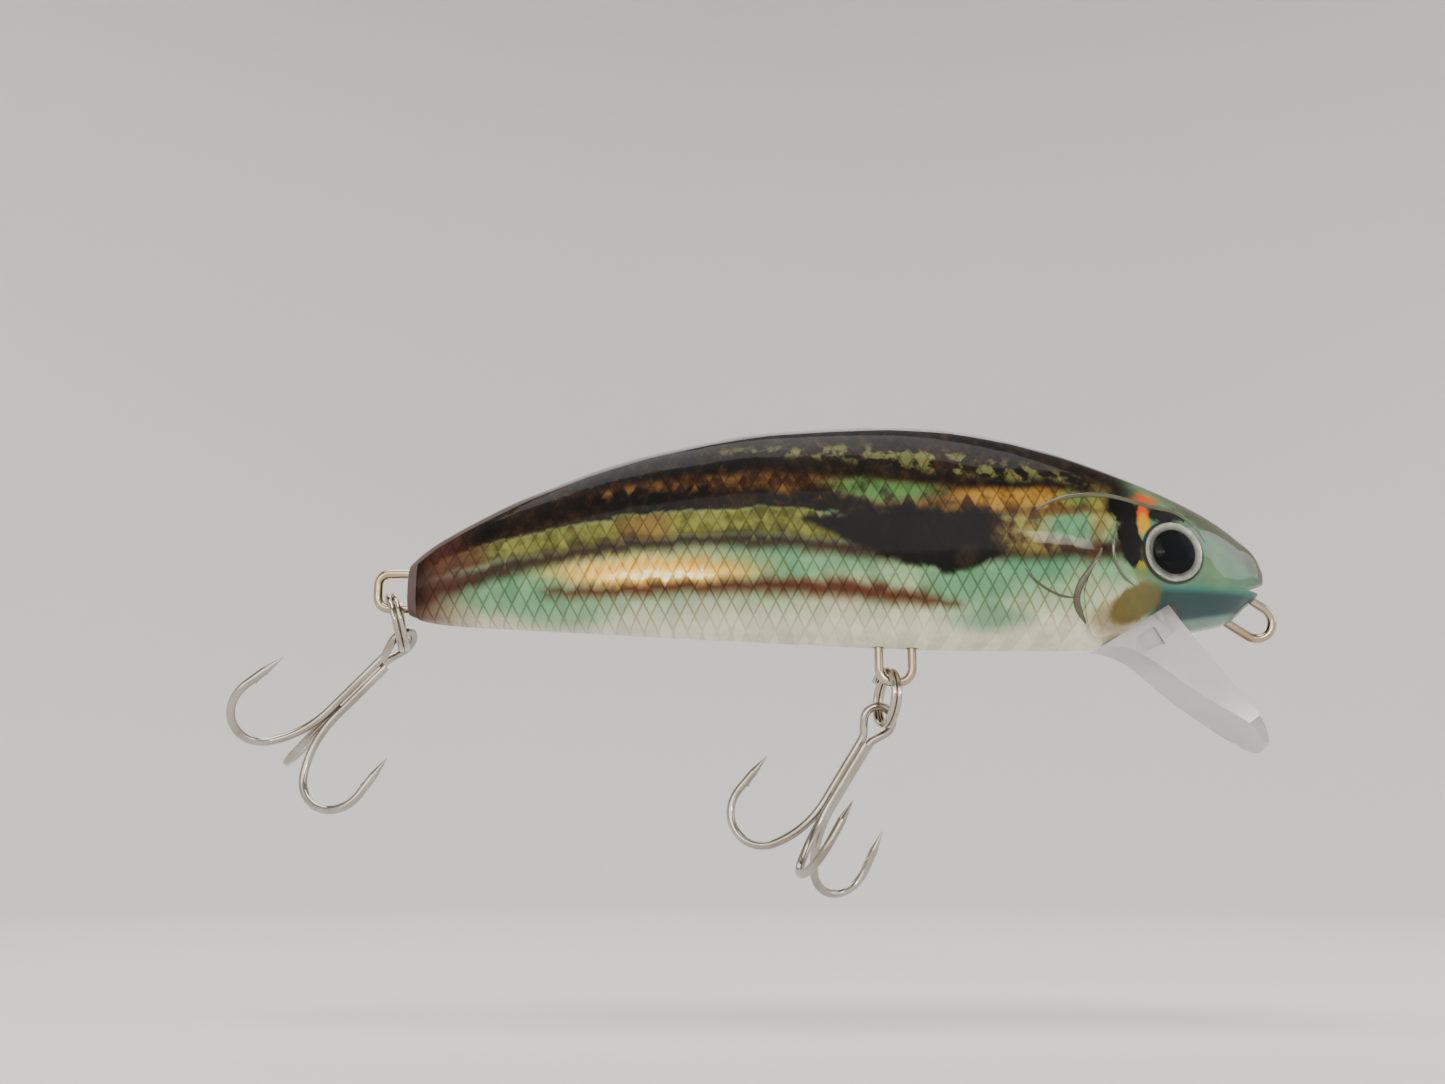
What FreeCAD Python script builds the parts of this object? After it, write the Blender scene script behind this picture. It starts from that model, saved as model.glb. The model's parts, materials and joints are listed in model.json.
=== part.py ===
import FreeCAD, Part
import math
import os

os.makedirs("parts", exist_ok=True)
Vector = FreeCAD.Vector
UP = Vector(0, 0, 1)
DOWN = Vector(0, 0, -1)

# A hard crankbait lure.  Millimetres, +X to the nose, +Z to the back, and the
# origin at the centre of the line tie's round end, where the leader is tied.

# ------------------------------------------------------------ driving sizes
BODY_LENGTH = 90.3
BODY_DEPTH = 23.9
BODY_WIDTH = 14.2
WALL = 1.2
NOSE_X = 0.8
MOUTH_Z = 3.3
EYE_DIAMETER = 6.2
HANGER_WIRE = 0.96
RING_OUTER = 6.4
RING_WIRE = 0.6
HOOK_WIRE = 0.9
HOOK_LENGTH = 20.5
BALL_DIAMETER = 5.0
BALL_COUNT = 3

# ------------------------------------------------------------ smaller sizes
FILM = 0.1
GILL_RAISE = 0.35
CLEAR_RIM = 0.95
SECTION_POINTS = 20
WIDEST_HEIGHT = 0.46
BACK_ROUNDNESS = 0.94
BELLY_ROUNDNESS = 0.82
RIB_THICKNESS = 1.0
POST_RADIUS = 1.9
PIN_RADIUS = 0.9
PIN_LENGTH = 1.6
WEB_HALF = 2.4
TUBE_WALL = 0.9
BALL_CLEARANCE = 0.08
HANGER_LEG_GAP = 3.5
RING_GAP = 0.2
COIL_GAP = 0.02

# Body stations from nose to tail: distance behind the nose as a share of the
# length, back and belly heights from the mouth line as shares of the depth,
# and half width as a share of the width.
STATIONS = [
    (0.0000, 0.100, 0.020, 0.066),
    (0.0052, 0.142, -0.013, 0.112),
    (0.0130, 0.186, -0.050, 0.156),
    (0.0267, 0.230, -0.092, 0.194),
    (0.0472, 0.291, -0.150, 0.261),
    (0.0822, 0.372, -0.180, 0.345),
    (0.1222, 0.446, -0.215, 0.412),
    (0.1667, 0.519, -0.244, 0.458),
    (0.2244, 0.602, -0.258, 0.493),
    (0.2944, 0.682, -0.258, 0.500),
    (0.3656, 0.732, -0.256, 0.500),
    (0.4367, 0.749, -0.249, 0.493),
    (0.5067, 0.741, -0.238, 0.479),
    (0.5778, 0.724, -0.224, 0.458),
    (0.6489, 0.682, -0.211, 0.430),
    (0.7189, 0.623, -0.197, 0.394),
    (0.7900, 0.540, -0.182, 0.349),
    (0.8600, 0.435, -0.169, 0.292),
    (0.9311, 0.301, -0.155, 0.225),
    (0.9667, 0.222, -0.142, 0.187),
    (1.0000, 0.117, -0.109, 0.141),
]

FAR = 200.0
TAIL_X = NOSE_X - BODY_LENGTH


def body_x(share):
    return NOSE_X - share * BODY_LENGTH


def station_value(x, column):
    share = (NOSE_X - x) / BODY_LENGTH
    for ahead, behind in zip(STATIONS, STATIONS[1:]):
        if share <= behind[0]:
            step = (share - ahead[0]) / (behind[0] - ahead[0])
            return ahead[column] + step * (behind[column] - ahead[column])
    return STATIONS[-1][column]


def back_z(x):
    return MOUTH_Z + station_value(x, 1) * BODY_DEPTH


def belly_z(x):
    return MOUTH_Z + station_value(x, 2) * BODY_DEPTH


def half_width(x):
    return station_value(x, 3) * BODY_WIDTH


def height_at(x, share):
    return belly_z(x) + share * (back_z(x) - belly_z(x))


# ------------------------------------------------------------ solid helpers
def block(x0, x1, y0, y1, z0, z1):
    return Part.makeBox(x1 - x0, y1 - y0, z1 - z0, Vector(x0, y0, z0))


def side_prism(outline, y0, y1):
    points = [Vector(x, y0, z) for x, z in outline]
    face = Part.Face(Part.makePolygon(points + [points[0]]))
    return face.extrude(Vector(0, y1 - y0, 0))


def smooth_prism(outline, y0, y1):
    curve = Part.BSplineCurve()
    curve.interpolate([Vector(x, y0, z) for x, z in outline], PeriodicFlag=True)
    face = Part.Face(Part.Wire(curve.toShape()))
    return face.extrude(Vector(0, y1 - y0, 0))


def cross_cylinder(x, z, radius, y0, y1):
    return Part.makeCylinder(radius, y1 - y0, Vector(x, y0, z), Vector(0, 1, 0))


def cut_each(solid, cutters):
    for cutter in cutters:
        solid = solid.cut(cutter)
    return solid


def one_solid(shape):
    solids = shape.Solids
    return max(solids, key=lambda solid: solid.Volume)


def turned(vector, axis, degrees):
    return FreeCAD.Rotation(axis, degrees).multVec(vector)


def mirror_left(shape):
    return shape.mirror(Vector(0, 0, 0), Vector(0, 1, 0))


RIGHT_SIDE = block(-FAR, FAR, -FAR, 0, -FAR, FAR)


# ------------------------------------------------------------ round wire
def trace(start, heading, moves):
    """Edges of a bent wire: (length,) runs straight, (radius, degrees, axis) bends."""
    edges = []
    place = start
    for move in moves:
        if len(move) == 1:
            end = place + heading * move[0]
            edges.append(Part.LineSegment(place, end).toShape())
        else:
            radius, degrees, axis = move
            centre = place + axis.cross(heading) * math.copysign(radius, degrees)
            middle = centre + turned(place - centre, axis, degrees / 2)
            end = centre + turned(place - centre, axis, degrees)
            edges.append(Part.Arc(place, middle, end).toShape())
            heading = turned(heading, axis, degrees)
        place = end
    return edges, place, heading


def wire_along(edges, start, heading, radius):
    section = Part.Wire(Part.makeCircle(radius, start, heading))
    return Part.Wire(edges).makePipeShell([section], True, False)


def bent_wire(start, heading, moves, radius):
    edges, end, direction = trace(start, heading, moves)
    return wire_along(edges, start, heading, radius)


# ------------------------------------------------------------ body surface
def section(x, back, belly, half):
    widest = belly + WIDEST_HEIGHT * (back - belly)
    points = []
    for index in range(SECTION_POINTS):
        angle = 2 * math.pi * index / SECTION_POINTS
        across = math.cos(angle)
        up = math.sin(angle)
        rise = back - widest
        power = BACK_ROUNDNESS
        if up < 0:
            rise = widest - belly
            power = BELLY_ROUNDNESS
        y = half * math.copysign(abs(across) ** power, across)
        z = widest + rise * math.copysign(abs(up) ** power, up)
        points.append(Vector(x, y, z))
    curve = Part.BSplineCurve()
    curve.interpolate(points, PeriodicFlag=True)
    return Part.Wire(curve.toShape())


def body_loft(inset):
    sections = []
    for share, back, belly, half in STATIONS:
        top = MOUTH_Z + back * BODY_DEPTH - inset
        bottom = MOUTH_Z + belly * BODY_DEPTH + inset
        if top - bottom > 2 * inset:
            sections.append(section(body_x(share), top, bottom, half * BODY_WIDTH - inset))
    return Part.makeLoft(sections, True, False)


# ------------------------------------------------------------ line tie
# The line tie is a U of wire whose legs slope up and back into the snout.
DOWN_SLOPE = 33.6
TIE_FORWARD = Vector(math.cos(math.radians(DOWN_SLOPE)), 0, -math.sin(math.radians(DOWN_SLOPE)))
TIE_ACROSS = Vector(-TIE_FORWARD.z, 0, TIE_FORWARD.x)
SIDEWAYS = Vector(0, 1, 0)
ANCHOR_BEND = 1.0
TIE_UPPER_LEG = 5.6
TIE_LOWER_LEG = 8.2
TIE_FOOT = 1.6
TIE_LOWER_FOOT = 2.0


def line_tie_wire(radius):
    end_radius = HANGER_LEG_GAP / 2
    upper_start = TIE_ACROSS * (end_radius + ANCHOR_BEND + TIE_FOOT)
    upper_start = upper_start - TIE_FORWARD * (TIE_UPPER_LEG + ANCHOR_BEND)
    moves = [
        (TIE_FOOT,),
        (ANCHOR_BEND, -90.0, SIDEWAYS),
        (TIE_UPPER_LEG,),
        (end_radius, 180.0, SIDEWAYS),
        (TIE_LOWER_LEG,),
        (ANCHOR_BEND, 90.0, SIDEWAYS),
        (TIE_LOWER_FOOT,),
    ]
    return bent_wire(upper_start, TIE_ACROSS * -1, moves, radius)


# ------------------------------------------------------------ hook hangers
BELLY_HANGER_X = body_x(0.4317)
BELLY_HANGER_DROP = 3.7
BELLY_HANGER_BEND = 1.5
BELLY_LEG_IN = 3.6
HANGER_FOOT = 1.4
TAIL_HANGER_BACK = 3.5
TAIL_HANGER_BEND = 1.2
TAIL_LEG_GAP = 3.74
TAIL_LOWER_Z = 1.46
TAIL_UPPER_IN = 3.6
TAIL_LOWER_IN = 6.2
TAIL_UPPER_FOOT = 0.8
TAIL_LOWER_FOOT = 1.6
AHEAD = Vector(1, 0, 0)
HANGER_RADIUS = HANGER_WIRE / 2
BELLY_HANGER_Z = belly_z(BELLY_HANGER_X) - BELLY_HANGER_DROP


def belly_hanger_wire(radius):
    drop = BELLY_HANGER_DROP + BELLY_LEG_IN - BELLY_HANGER_BEND - ANCHOR_BEND
    half_gap = HANGER_LEG_GAP / 2
    top = BELLY_HANGER_Z + BELLY_HANGER_DROP + BELLY_LEG_IN
    start = Vector(BELLY_HANGER_X - half_gap - ANCHOR_BEND - HANGER_FOOT, 0, top)
    moves = [
        (HANGER_FOOT,),
        (ANCHOR_BEND, 90.0, SIDEWAYS),
        (drop,),
        (BELLY_HANGER_BEND, -90.0, SIDEWAYS),
        (HANGER_LEG_GAP - 2 * BELLY_HANGER_BEND,),
        (BELLY_HANGER_BEND, -90.0, SIDEWAYS),
        (drop,),
        (ANCHOR_BEND, 90.0, SIDEWAYS),
        (HANGER_FOOT,),
    ]
    return bent_wire(start, AHEAD, moves, radius)


def tail_hanger_wire(radius):
    upper_z = TAIL_LOWER_Z + TAIL_LEG_GAP
    upper_run = TAIL_HANGER_BACK + TAIL_UPPER_IN - TAIL_HANGER_BEND - ANCHOR_BEND
    lower_run = TAIL_HANGER_BACK + TAIL_LOWER_IN - TAIL_HANGER_BEND - ANCHOR_BEND
    start = Vector(TAIL_X + TAIL_UPPER_IN, 0, upper_z + ANCHOR_BEND + TAIL_UPPER_FOOT)
    moves = [
        (TAIL_UPPER_FOOT,),
        (ANCHOR_BEND, 90.0, SIDEWAYS),
        (upper_run,),
        (TAIL_HANGER_BEND, -90.0, SIDEWAYS),
        (TAIL_LEG_GAP - 2 * TAIL_HANGER_BEND,),
        (TAIL_HANGER_BEND, -90.0, SIDEWAYS),
        (lower_run,),
        (ANCHOR_BEND, -90.0, SIDEWAYS),
        (TAIL_LOWER_FOOT,),
    ]
    return bent_wire(start, DOWN, moves, radius)


# ------------------------------------------------------------ diving lip
# The lip is a clear wedge: a straight front face, a hollowed back face that
# thins it to a blade, and a tongue held in a slot between the body halves.
LIP_ROOT_X = -10.2
LIP_ROOT_Z = 1.3
LIP_SLOPE = 55.5
LIP_LENGTH = 17.8
LIP_BLADE = 0.75
LIP_ROOT_HALF = 3.75
LIP_TIP_HALF = 5.6
LIP_FLARE_START = 2.7
LIP_ARC_START = 14.1
LEDGE_BACK = 6.6
LEDGE_FALL = 4.1
TONGUE_HALF = 1.2
TONGUE_BACK = -14.7
TONGUE_FRONT = -11.0
TONGUE_TOP = 5.6
PEG_X = -12.8
PEG_Z = 3.7
TONGUE_SINK = 0.6
CORNER_CUT_DEEP = 0.45
LIP_OVERRUN = 1.0
LIP_PLAN_ABOVE = 3.0
LIP_HOLLOW = [(14.9, 1.15), (11.3, 2.5), (7.35, 3.95), (3.4, 5.1)]
LIP_CORNER_CUT = [(-13.7, -2.1), (-11.8, -1.0), (-10.8, -2.8), (-12.9, -3.5)]
SLOPE = math.radians(LIP_SLOPE)
LIP_DOWN = Vector(math.cos(SLOPE), 0, -math.sin(SLOPE))
LIP_BACKWARD = Vector(-math.sin(SLOPE), 0, -math.cos(SLOPE))
LIP_ROOT = Vector(LIP_ROOT_X, 0, LIP_ROOT_Z)


def lip_point(along, behind):
    return LIP_ROOT + LIP_DOWN * along + LIP_BACKWARD * behind


def lip_side_face():
    ledge_end = LIP_ROOT + Vector(-LEDGE_BACK, 0, -LEDGE_FALL)
    tip = lip_point(LIP_LENGTH + LIP_OVERRUN, 0)
    tip_back = lip_point(LIP_LENGTH + LIP_OVERRUN, LIP_BLADE)
    hollow = [lip_point(along, behind) for along, behind in LIP_HOLLOW]
    back = Part.BSplineCurve()
    back.interpolate([tip_back] + hollow + [ledge_end])
    edges = [
        Part.LineSegment(ledge_end, LIP_ROOT).toShape(),
        Part.LineSegment(LIP_ROOT, tip).toShape(),
        Part.LineSegment(tip, tip_back).toShape(),
        back.toShape(),
    ]
    return Part.Face(Part.Wire(edges))


def lip_plan_prism():
    def at(along, across):
        return lip_point(along, -FAR / 4) + Vector(0, across, 0)

    right_root = at(-LIP_PLAN_ABOVE, -LIP_ROOT_HALF)
    right_flare = at(LIP_FLARE_START, -LIP_ROOT_HALF)
    right_corner = at(LIP_ARC_START, -LIP_TIP_HALF)
    left_corner = at(LIP_ARC_START, LIP_TIP_HALF)
    left_flare = at(LIP_FLARE_START, LIP_ROOT_HALF)
    left_root = at(-LIP_PLAN_ABOVE, LIP_ROOT_HALF)
    edges = [
        Part.LineSegment(right_root, right_flare).toShape(),
        Part.LineSegment(right_flare, right_corner).toShape(),
        Part.Arc(right_corner, at(LIP_LENGTH, 0), left_corner).toShape(),
        Part.LineSegment(left_corner, left_flare).toShape(),
        Part.LineSegment(left_flare, left_root).toShape(),
        Part.LineSegment(left_root, right_root).toShape(),
    ]
    return Part.Face(Part.Wire(edges)).extrude(LIP_BACKWARD * (FAR / 2))


def ledge_z(x):
    return LIP_ROOT_Z + (x - LIP_ROOT_X) * LEDGE_FALL / LEDGE_BACK


def tongue_solid():
    outline = [
        (TONGUE_BACK, ledge_z(TONGUE_BACK) - TONGUE_SINK),
        (TONGUE_FRONT, ledge_z(TONGUE_FRONT) - TONGUE_SINK),
        (TONGUE_FRONT, TONGUE_TOP),
        (TONGUE_BACK, TONGUE_TOP),
    ]
    return side_prism(outline, -TONGUE_HALF, TONGUE_HALF)


def lip_blade_solid():
    side = lip_side_face()
    side.translate(Vector(0, -FAR / 4, 0))
    blade = side.extrude(Vector(0, FAR / 2, 0)).common(lip_plan_prism())
    inner = LIP_ROOT_HALF - CORNER_CUT_DEEP
    for y0, y1 in ((-FAR, -inner), (inner, FAR)):
        blade = blade.cut(side_prism(LIP_CORNER_CUT, y0, y1))
    return one_solid(blade)


def diving_lip_solid():
    lip = lip_blade_solid().fuse(tongue_solid()).removeSplitter()
    return one_solid(lip.cut(cross_cylinder(PEG_X, PEG_Z, PIN_RADIUS, -FAR, FAR)))


# ------------------------------------------------------------ eyes
EYE_X = body_x(0.1195)
EYE_Z = MOUTH_Z + 0.130 * BODY_DEPTH
EYE_YAW = 13.0
EYE_PITCH = 4.0
IRIS_THICK = 0.35
PUPIL_RADIUS = 0.375 * EYE_DIAMETER
PUPIL_THICK = 0.12
LENS_RISE = 0.95
LENS_EDGE = 0.3
EYE_SINK = 0.55
EYE_BOSS_WALL = 0.9
EYE_BOSS_DEEP = 1.3
EYE_OUT = turned(turned(Vector(0, -1, 0), Vector(1, 0, 0), -EYE_PITCH), Vector(0, 0, 1), EYE_YAW)


def eye_seat_centre():
    surface = half_width(EYE_X) - EYE_SINK
    return Vector(EYE_X, -surface, EYE_Z)


def eye_cylinder(radius, start, end):
    return Part.makeCylinder(radius, end - start, eye_seat_centre() + EYE_OUT * start, EYE_OUT)


def eye_lens_solid():
    """A domed lens, turned about Z over the iris and pupil, then set on the eye seat."""
    radius = EYE_DIAMETER / 2
    base = IRIS_THICK
    ceiling = IRIS_THICK + PUPIL_THICK
    shoulder = IRIS_THICK + LENS_EDGE
    rise = LENS_RISE - LENS_EDGE
    dome = (radius ** 2 + rise ** 2) / (2 * rise)
    half_way = math.asin(radius / dome) / 2
    crown = shoulder + rise
    middle = (dome * math.sin(half_way), crown - dome * (1 - math.cos(half_way)))

    def line(start, end):
        return Part.LineSegment(Vector(start[0], 0, start[1]), Vector(end[0], 0, end[1])).toShape()

    corners = [(0, crown), (0, ceiling), (PUPIL_RADIUS, ceiling), (PUPIL_RADIUS, base),
               (radius, base), (radius, shoulder)]
    edges = [line(start, end) for start, end in zip(corners, corners[1:])]
    edges.append(Part.Arc(Vector(radius, 0, shoulder), Vector(middle[0], 0, middle[1]),
                          Vector(0, 0, crown)).toShape())
    lens = one_solid(Part.Face(Part.Wire(edges)).revolve(Vector(0, 0, 0), UP, 360))
    lens.Placement = FreeCAD.Placement(eye_seat_centre(), FreeCAD.Rotation(UP, EYE_OUT))
    return lens


# ------------------------------------------------------------ inside
CAVITY_FRONT = -9.4
CAVITY_BACK = body_x(0.885)
RIB_SHARES = [0.800, 0.648, 0.330, 0.228]
POSTS = [(0.733, 0.80), (0.470, 0.83), (0.222, 0.78), (0.640, 0.13)]
TUBE_RADIUS = BALL_DIAMETER / 2 + BALL_CLEARANCE
TUBE_BACK = body_x(0.825)
TUBE_FRONT = body_x(0.402)
TUBE_Z = MOUTH_Z + 0.22 * BODY_DEPTH
BALLAST_RADIUS = 2.5
BALLAST_BACK = body_x(0.325)
BALLAST_FRONT = body_x(0.233)
BALLAST_SEAT = 0.2
BALLAST_Z = belly_z(BALLAST_BACK) + WALL + BALLAST_SEAT + BALLAST_RADIUS
RIB_HEIGHT = 0.72
TUBE_END = 1.2
CRADLE_END = 1.0
CRADLE_HALF = 3.2
CRADLE_ABOVE = 0.4
HANGER_BOSS_HALF = 1.7
HANGER_BOSS_END = 0.9
HANGER_BOSS_ABOVE = 0.5
SEAT_FRONT = 1.0
SEAT_BACK = 1.4
NOTCH_BELOW = 12.0
MOUTH_HALF = 0.75
MOUTH_FRONT = 1.5
MOUTH_BACK = -2.2
MOUTH_FALL = 0.2
PIN_ROOT = 0.5
BALL_START = 0.1


def tube_cylinder(radius, back, front):
    return Part.makeCylinder(radius, front - back, Vector(back, 0, TUBE_Z), AHEAD)


def ballast_solid():
    length = BALLAST_FRONT - BALLAST_BACK
    return Part.makeCylinder(BALLAST_RADIUS, length, Vector(BALLAST_BACK, 0, BALLAST_Z), AHEAD)


def inner_walls():
    walls = []
    for share in RIB_SHARES:
        x = body_x(share)
        half = RIB_THICKNESS / 2
        walls.append(block(x - half, x + half, -FAR, FAR, -FAR, height_at(x, RIB_HEIGHT)))
    for share, height in POSTS:
        x = body_x(share)
        walls.append(cross_cylinder(x, height_at(x, height), POST_RADIUS, -FAR, FAR))
    walls.append(tube_cylinder(TUBE_RADIUS + TUBE_WALL, TUBE_BACK - TUBE_END, TUBE_FRONT + TUBE_END))
    walls.append(block(BALLAST_BACK - CRADLE_END, BALLAST_FRONT + CRADLE_END,
                       -CRADLE_HALF, CRADLE_HALF, -FAR, BALLAST_Z + CRADLE_ABOVE))
    boss_half = HANGER_LEG_GAP / 2 + ANCHOR_BEND + HANGER_FOOT + HANGER_BOSS_END
    boss_top = belly_z(BELLY_HANGER_X) + BELLY_LEG_IN + HANGER_WIRE + HANGER_BOSS_ABOVE
    walls.append(block(BELLY_HANGER_X - boss_half, BELLY_HANGER_X + boss_half,
                       -HANGER_BOSS_HALF, HANGER_BOSS_HALF, -FAR, boss_top))
    seat = [
        (LIP_ROOT_X - LEDGE_BACK - SEAT_BACK, -FAR),
        (LIP_ROOT_X - LEDGE_BACK - SEAT_BACK, ledge_z(LIP_ROOT_X - LEDGE_BACK) + WALL),
        (LIP_ROOT_X + SEAT_FRONT, LIP_ROOT_Z + WALL + SEAT_FRONT),
        (LIP_ROOT_X + SEAT_FRONT, -FAR),
    ]
    walls.append(side_prism(seat, -FAR, FAR))
    walls.append(block(TONGUE_BACK - WALL, CAVITY_FRONT + WALL, -WEB_HALF, WEB_HALF,
                       -FAR, TONGUE_TOP + WALL))
    walls.append(cross_cylinder(PEG_X, PEG_Z, POST_RADIUS, -FAR, FAR))
    socket_boss = eye_cylinder(EYE_DIAMETER / 2 + EYE_BOSS_WALL, -EYE_BOSS_DEEP, EYE_BOSS_DEEP)
    walls.append(socket_boss)
    walls.append(mirror_left(socket_boss))
    return walls


def lip_notch():
    ledge_end_x = LIP_ROOT_X - LEDGE_BACK
    front = LIP_ROOT + LIP_DOWN * NOTCH_BELOW
    outline = [
        (LIP_ROOT_X, LIP_ROOT_Z),
        (ledge_end_x, LIP_ROOT_Z - LEDGE_FALL),
        (ledge_end_x, front.z),
        (front.x, front.z),
    ]
    return side_prism(outline, -FAR, FAR)


def mouth_notch():
    outline = [
        (MOUTH_FRONT, MOUTH_Z + MOUTH_HALF),
        (MOUTH_FRONT, MOUTH_Z - MOUTH_HALF),
        (MOUTH_BACK, MOUTH_Z - MOUTH_FALL),
    ]
    return side_prism(outline, -FAR, FAR)


def eye_cut(margin):
    return eye_cylinder(EYE_DIAMETER / 2 + margin, 0.0, EYE_DIAMETER)


def right_half_solid():
    outer = body_loft(0.0).common(RIGHT_SIDE)
    cavity = body_loft(WALL).common(RIGHT_SIDE)
    cavity = cavity.common(block(CAVITY_BACK, CAVITY_FRONT, -FAR, FAR, -FAR, FAR))
    hollow = cut_each(cavity, inner_walls())
    cuts = [
        hollow,
        tube_cylinder(TUBE_RADIUS, TUBE_BACK, TUBE_FRONT),
        ballast_solid(),
        line_tie_wire(HANGER_RADIUS),
        belly_hanger_wire(HANGER_RADIUS),
        tail_hanger_wire(HANGER_RADIUS),
        lip_notch(),
        mouth_notch(),
        tongue_solid(),
        eye_cut(0.0),
    ]
    return one_solid(cut_each(outer, cuts))


def pin_places():
    return [(body_x(share), height_at(body_x(share), height)) for share, height in POSTS]


def right_shell_solid(half):
    pins = [cross_cylinder(x, z, PIN_RADIUS, -PIN_ROOT, PIN_LENGTH) for x, z in pin_places()]
    pins.append(cross_cylinder(PEG_X, PEG_Z, PIN_RADIUS, -TONGUE_HALF - PIN_ROOT, TONGUE_HALF))
    return one_solid(half.fuse(pins))


def left_shell_solid(half):
    shell = mirror_left(half)
    sockets = [cross_cylinder(x, z, PIN_RADIUS, 0, PIN_LENGTH) for x, z in pin_places()]
    return one_solid(cut_each(shell, sockets))


# ------------------------------------------------------------ printed skin
FILM_NOSE_GAP = 0.5
FILM_BELOW = 1.0
FILM_EYE_GAP = 0.12
FILM_WIRE_GAP = 0.25
GILL_COVER = [
    (-16.6, 7.4), (-18.5, 4.7), (-19.5, 2.2), (-19.2, -0.2), (-18.3, -2.0),
    (-15.8, -1.6), (-14.3, 0.8), (-14.2, 4.2), (-14.8, 6.6),
]


def skin_outline():
    top = []
    bottom = []
    for share, back, belly, half in STATIONS:
        x = body_x(share)
        x = min(max(x, TAIL_X + CLEAR_RIM), NOSE_X - FILM_NOSE_GAP)
        top.append((x, back_z(x) - CLEAR_RIM))
        bottom.append((x, belly_z(x) - FILM_BELOW))
    unique_top = [point for index, point in enumerate(top) if point not in top[:index]]
    unique_bottom = [point for index, point in enumerate(bottom) if point not in bottom[:index]]
    return unique_top + unique_bottom[::-1]


def right_film_solid():
    core = body_loft(0.0)
    film = body_loft(-FILM).cut(core).common(side_prism(skin_outline(), -FAR, 0))
    gill = body_loft(-GILL_RAISE).cut(core).common(smooth_prism(GILL_COVER, -FAR, 0))
    film = film.fuse(gill)
    cuts = [
        lip_notch(),
        mouth_notch(),
        eye_cut(FILM_EYE_GAP),
        belly_hanger_wire(HANGER_RADIUS + FILM_WIRE_GAP),
        line_tie_wire(HANGER_RADIUS + FILM_WIRE_GAP),
    ]
    return one_solid(cut_each(film, cuts))


# ------------------------------------------------------------ split rings
COIL_RADIUS = (RING_OUTER - RING_WIRE) / 2
COIL_PITCH = RING_WIRE + COIL_GAP
RING_REACH = COIL_RADIUS - RING_WIRE / 2 - HANGER_WIRE / 2 - RING_GAP
WIRE_END_TURN = 90.0


def ring_turned(vector, pose):
    """A vector turned as the ring hangs: tilt to the tail, yaw, then roll about X."""
    tilt, yaw, roll = pose
    vector = turned(vector, Vector(0, 1, 0), tilt)
    vector = turned(vector, Vector(0, 0, 1), yaw)
    return turned(vector, Vector(1, 0, 0), roll)


def split_ring(pose, centre):
    helix = Part.makeHelix(COIL_PITCH, 2 * COIL_PITCH, COIL_RADIUS)
    rise = COIL_PITCH / (2 * math.pi)
    start = Part.Wire(Part.makeCircle(RING_WIRE / 2, Vector(COIL_RADIUS, 0, 0),
                                      Vector(0, COIL_RADIUS, rise)))
    ring = Part.Wire(helix.Edges).makePipeShell([start], True, True)
    origin = Vector(0, 0, 0)
    tilt, yaw, roll = pose
    ring.translate(Vector(0, 0, -COIL_PITCH))
    ring.rotate(origin, Vector(0, 1, 0), 90)
    ring.rotate(origin, Vector(1, 0, 0), WIRE_END_TURN)
    ring.rotate(origin, Vector(0, 1, 0), tilt)
    ring.rotate(origin, Vector(0, 0, 1), yaw)
    ring.rotate(origin, Vector(1, 0, 0), roll)
    ring.translate(centre)
    return ring


# ------------------------------------------------------------ treble hooks
# One treble is a doubled wire, bent round into an eye with two hooks, and a
# single hook brazed into the groove between its shanks.
HOOK_RADIUS = HOOK_WIRE / 2
SHANK_CLEARANCE = 0.03
SHANK_HALF_GAP = HOOK_RADIUS + SHANK_CLEARANCE
GROOVE_OFFSET = math.sqrt((2 * SHANK_HALF_GAP) ** 2 - SHANK_HALF_GAP ** 2)
EYE_LOOP = HOOK_RADIUS + 1.1
EYE_OFFSET = 0.05
EYE_TAPER = 30.0
EYE_BLEND = 1.5
SHANK_STRAIGHT = 0.6 * HOOK_LENGTH
OUTWARD_RADIUS = 10.0
OUTWARD_TURN = 40.0
BEND_RADIUS = 3.7
POINT_LEAN = 9.0
POINT_WIRE_RUN = 2.3
POINT_CONE = 2.3
BARB_LENGTH = 1.5
BARB_ANGLE = 24.0
BARB_BASE = 0.72
BARB_SETBACK = 0.2
SHARP_RADIUS = 0.035
SINGLE_BELOW_EYE = 4.9
BRAZE_TOP_GAP = 0.5
BRAZE_BOTTOM_GAP = 1.2
BRAZE_SIZE = 2.2
EYE_TOP_Z = EYE_LOOP - EYE_OFFSET


def hook_moves(outward):
    axis = DOWN.cross(outward)
    return [
        (OUTWARD_RADIUS, OUTWARD_TURN, axis),
        (BEND_RADIUS, 180.0 - OUTWARD_TURN + POINT_LEAN, axis),
        (POINT_WIRE_RUN,),
    ]


def pointed(wire, end, heading, outward):
    point = Part.makeCone(HOOK_RADIUS, SHARP_RADIUS, POINT_CONE, end, heading)
    inward = DOWN.cross(outward).cross(heading)
    lean = math.radians(BARB_ANGLE)
    barb_way = inward * math.sin(lean) - heading * math.cos(lean)
    barb_start = end - heading * BARB_SETBACK
    barb = Part.makeCone(HOOK_RADIUS * BARB_BASE, SHARP_RADIUS, BARB_LENGTH, barb_start, barb_way)
    return one_solid(wire.fuse([point, barb]))


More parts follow.
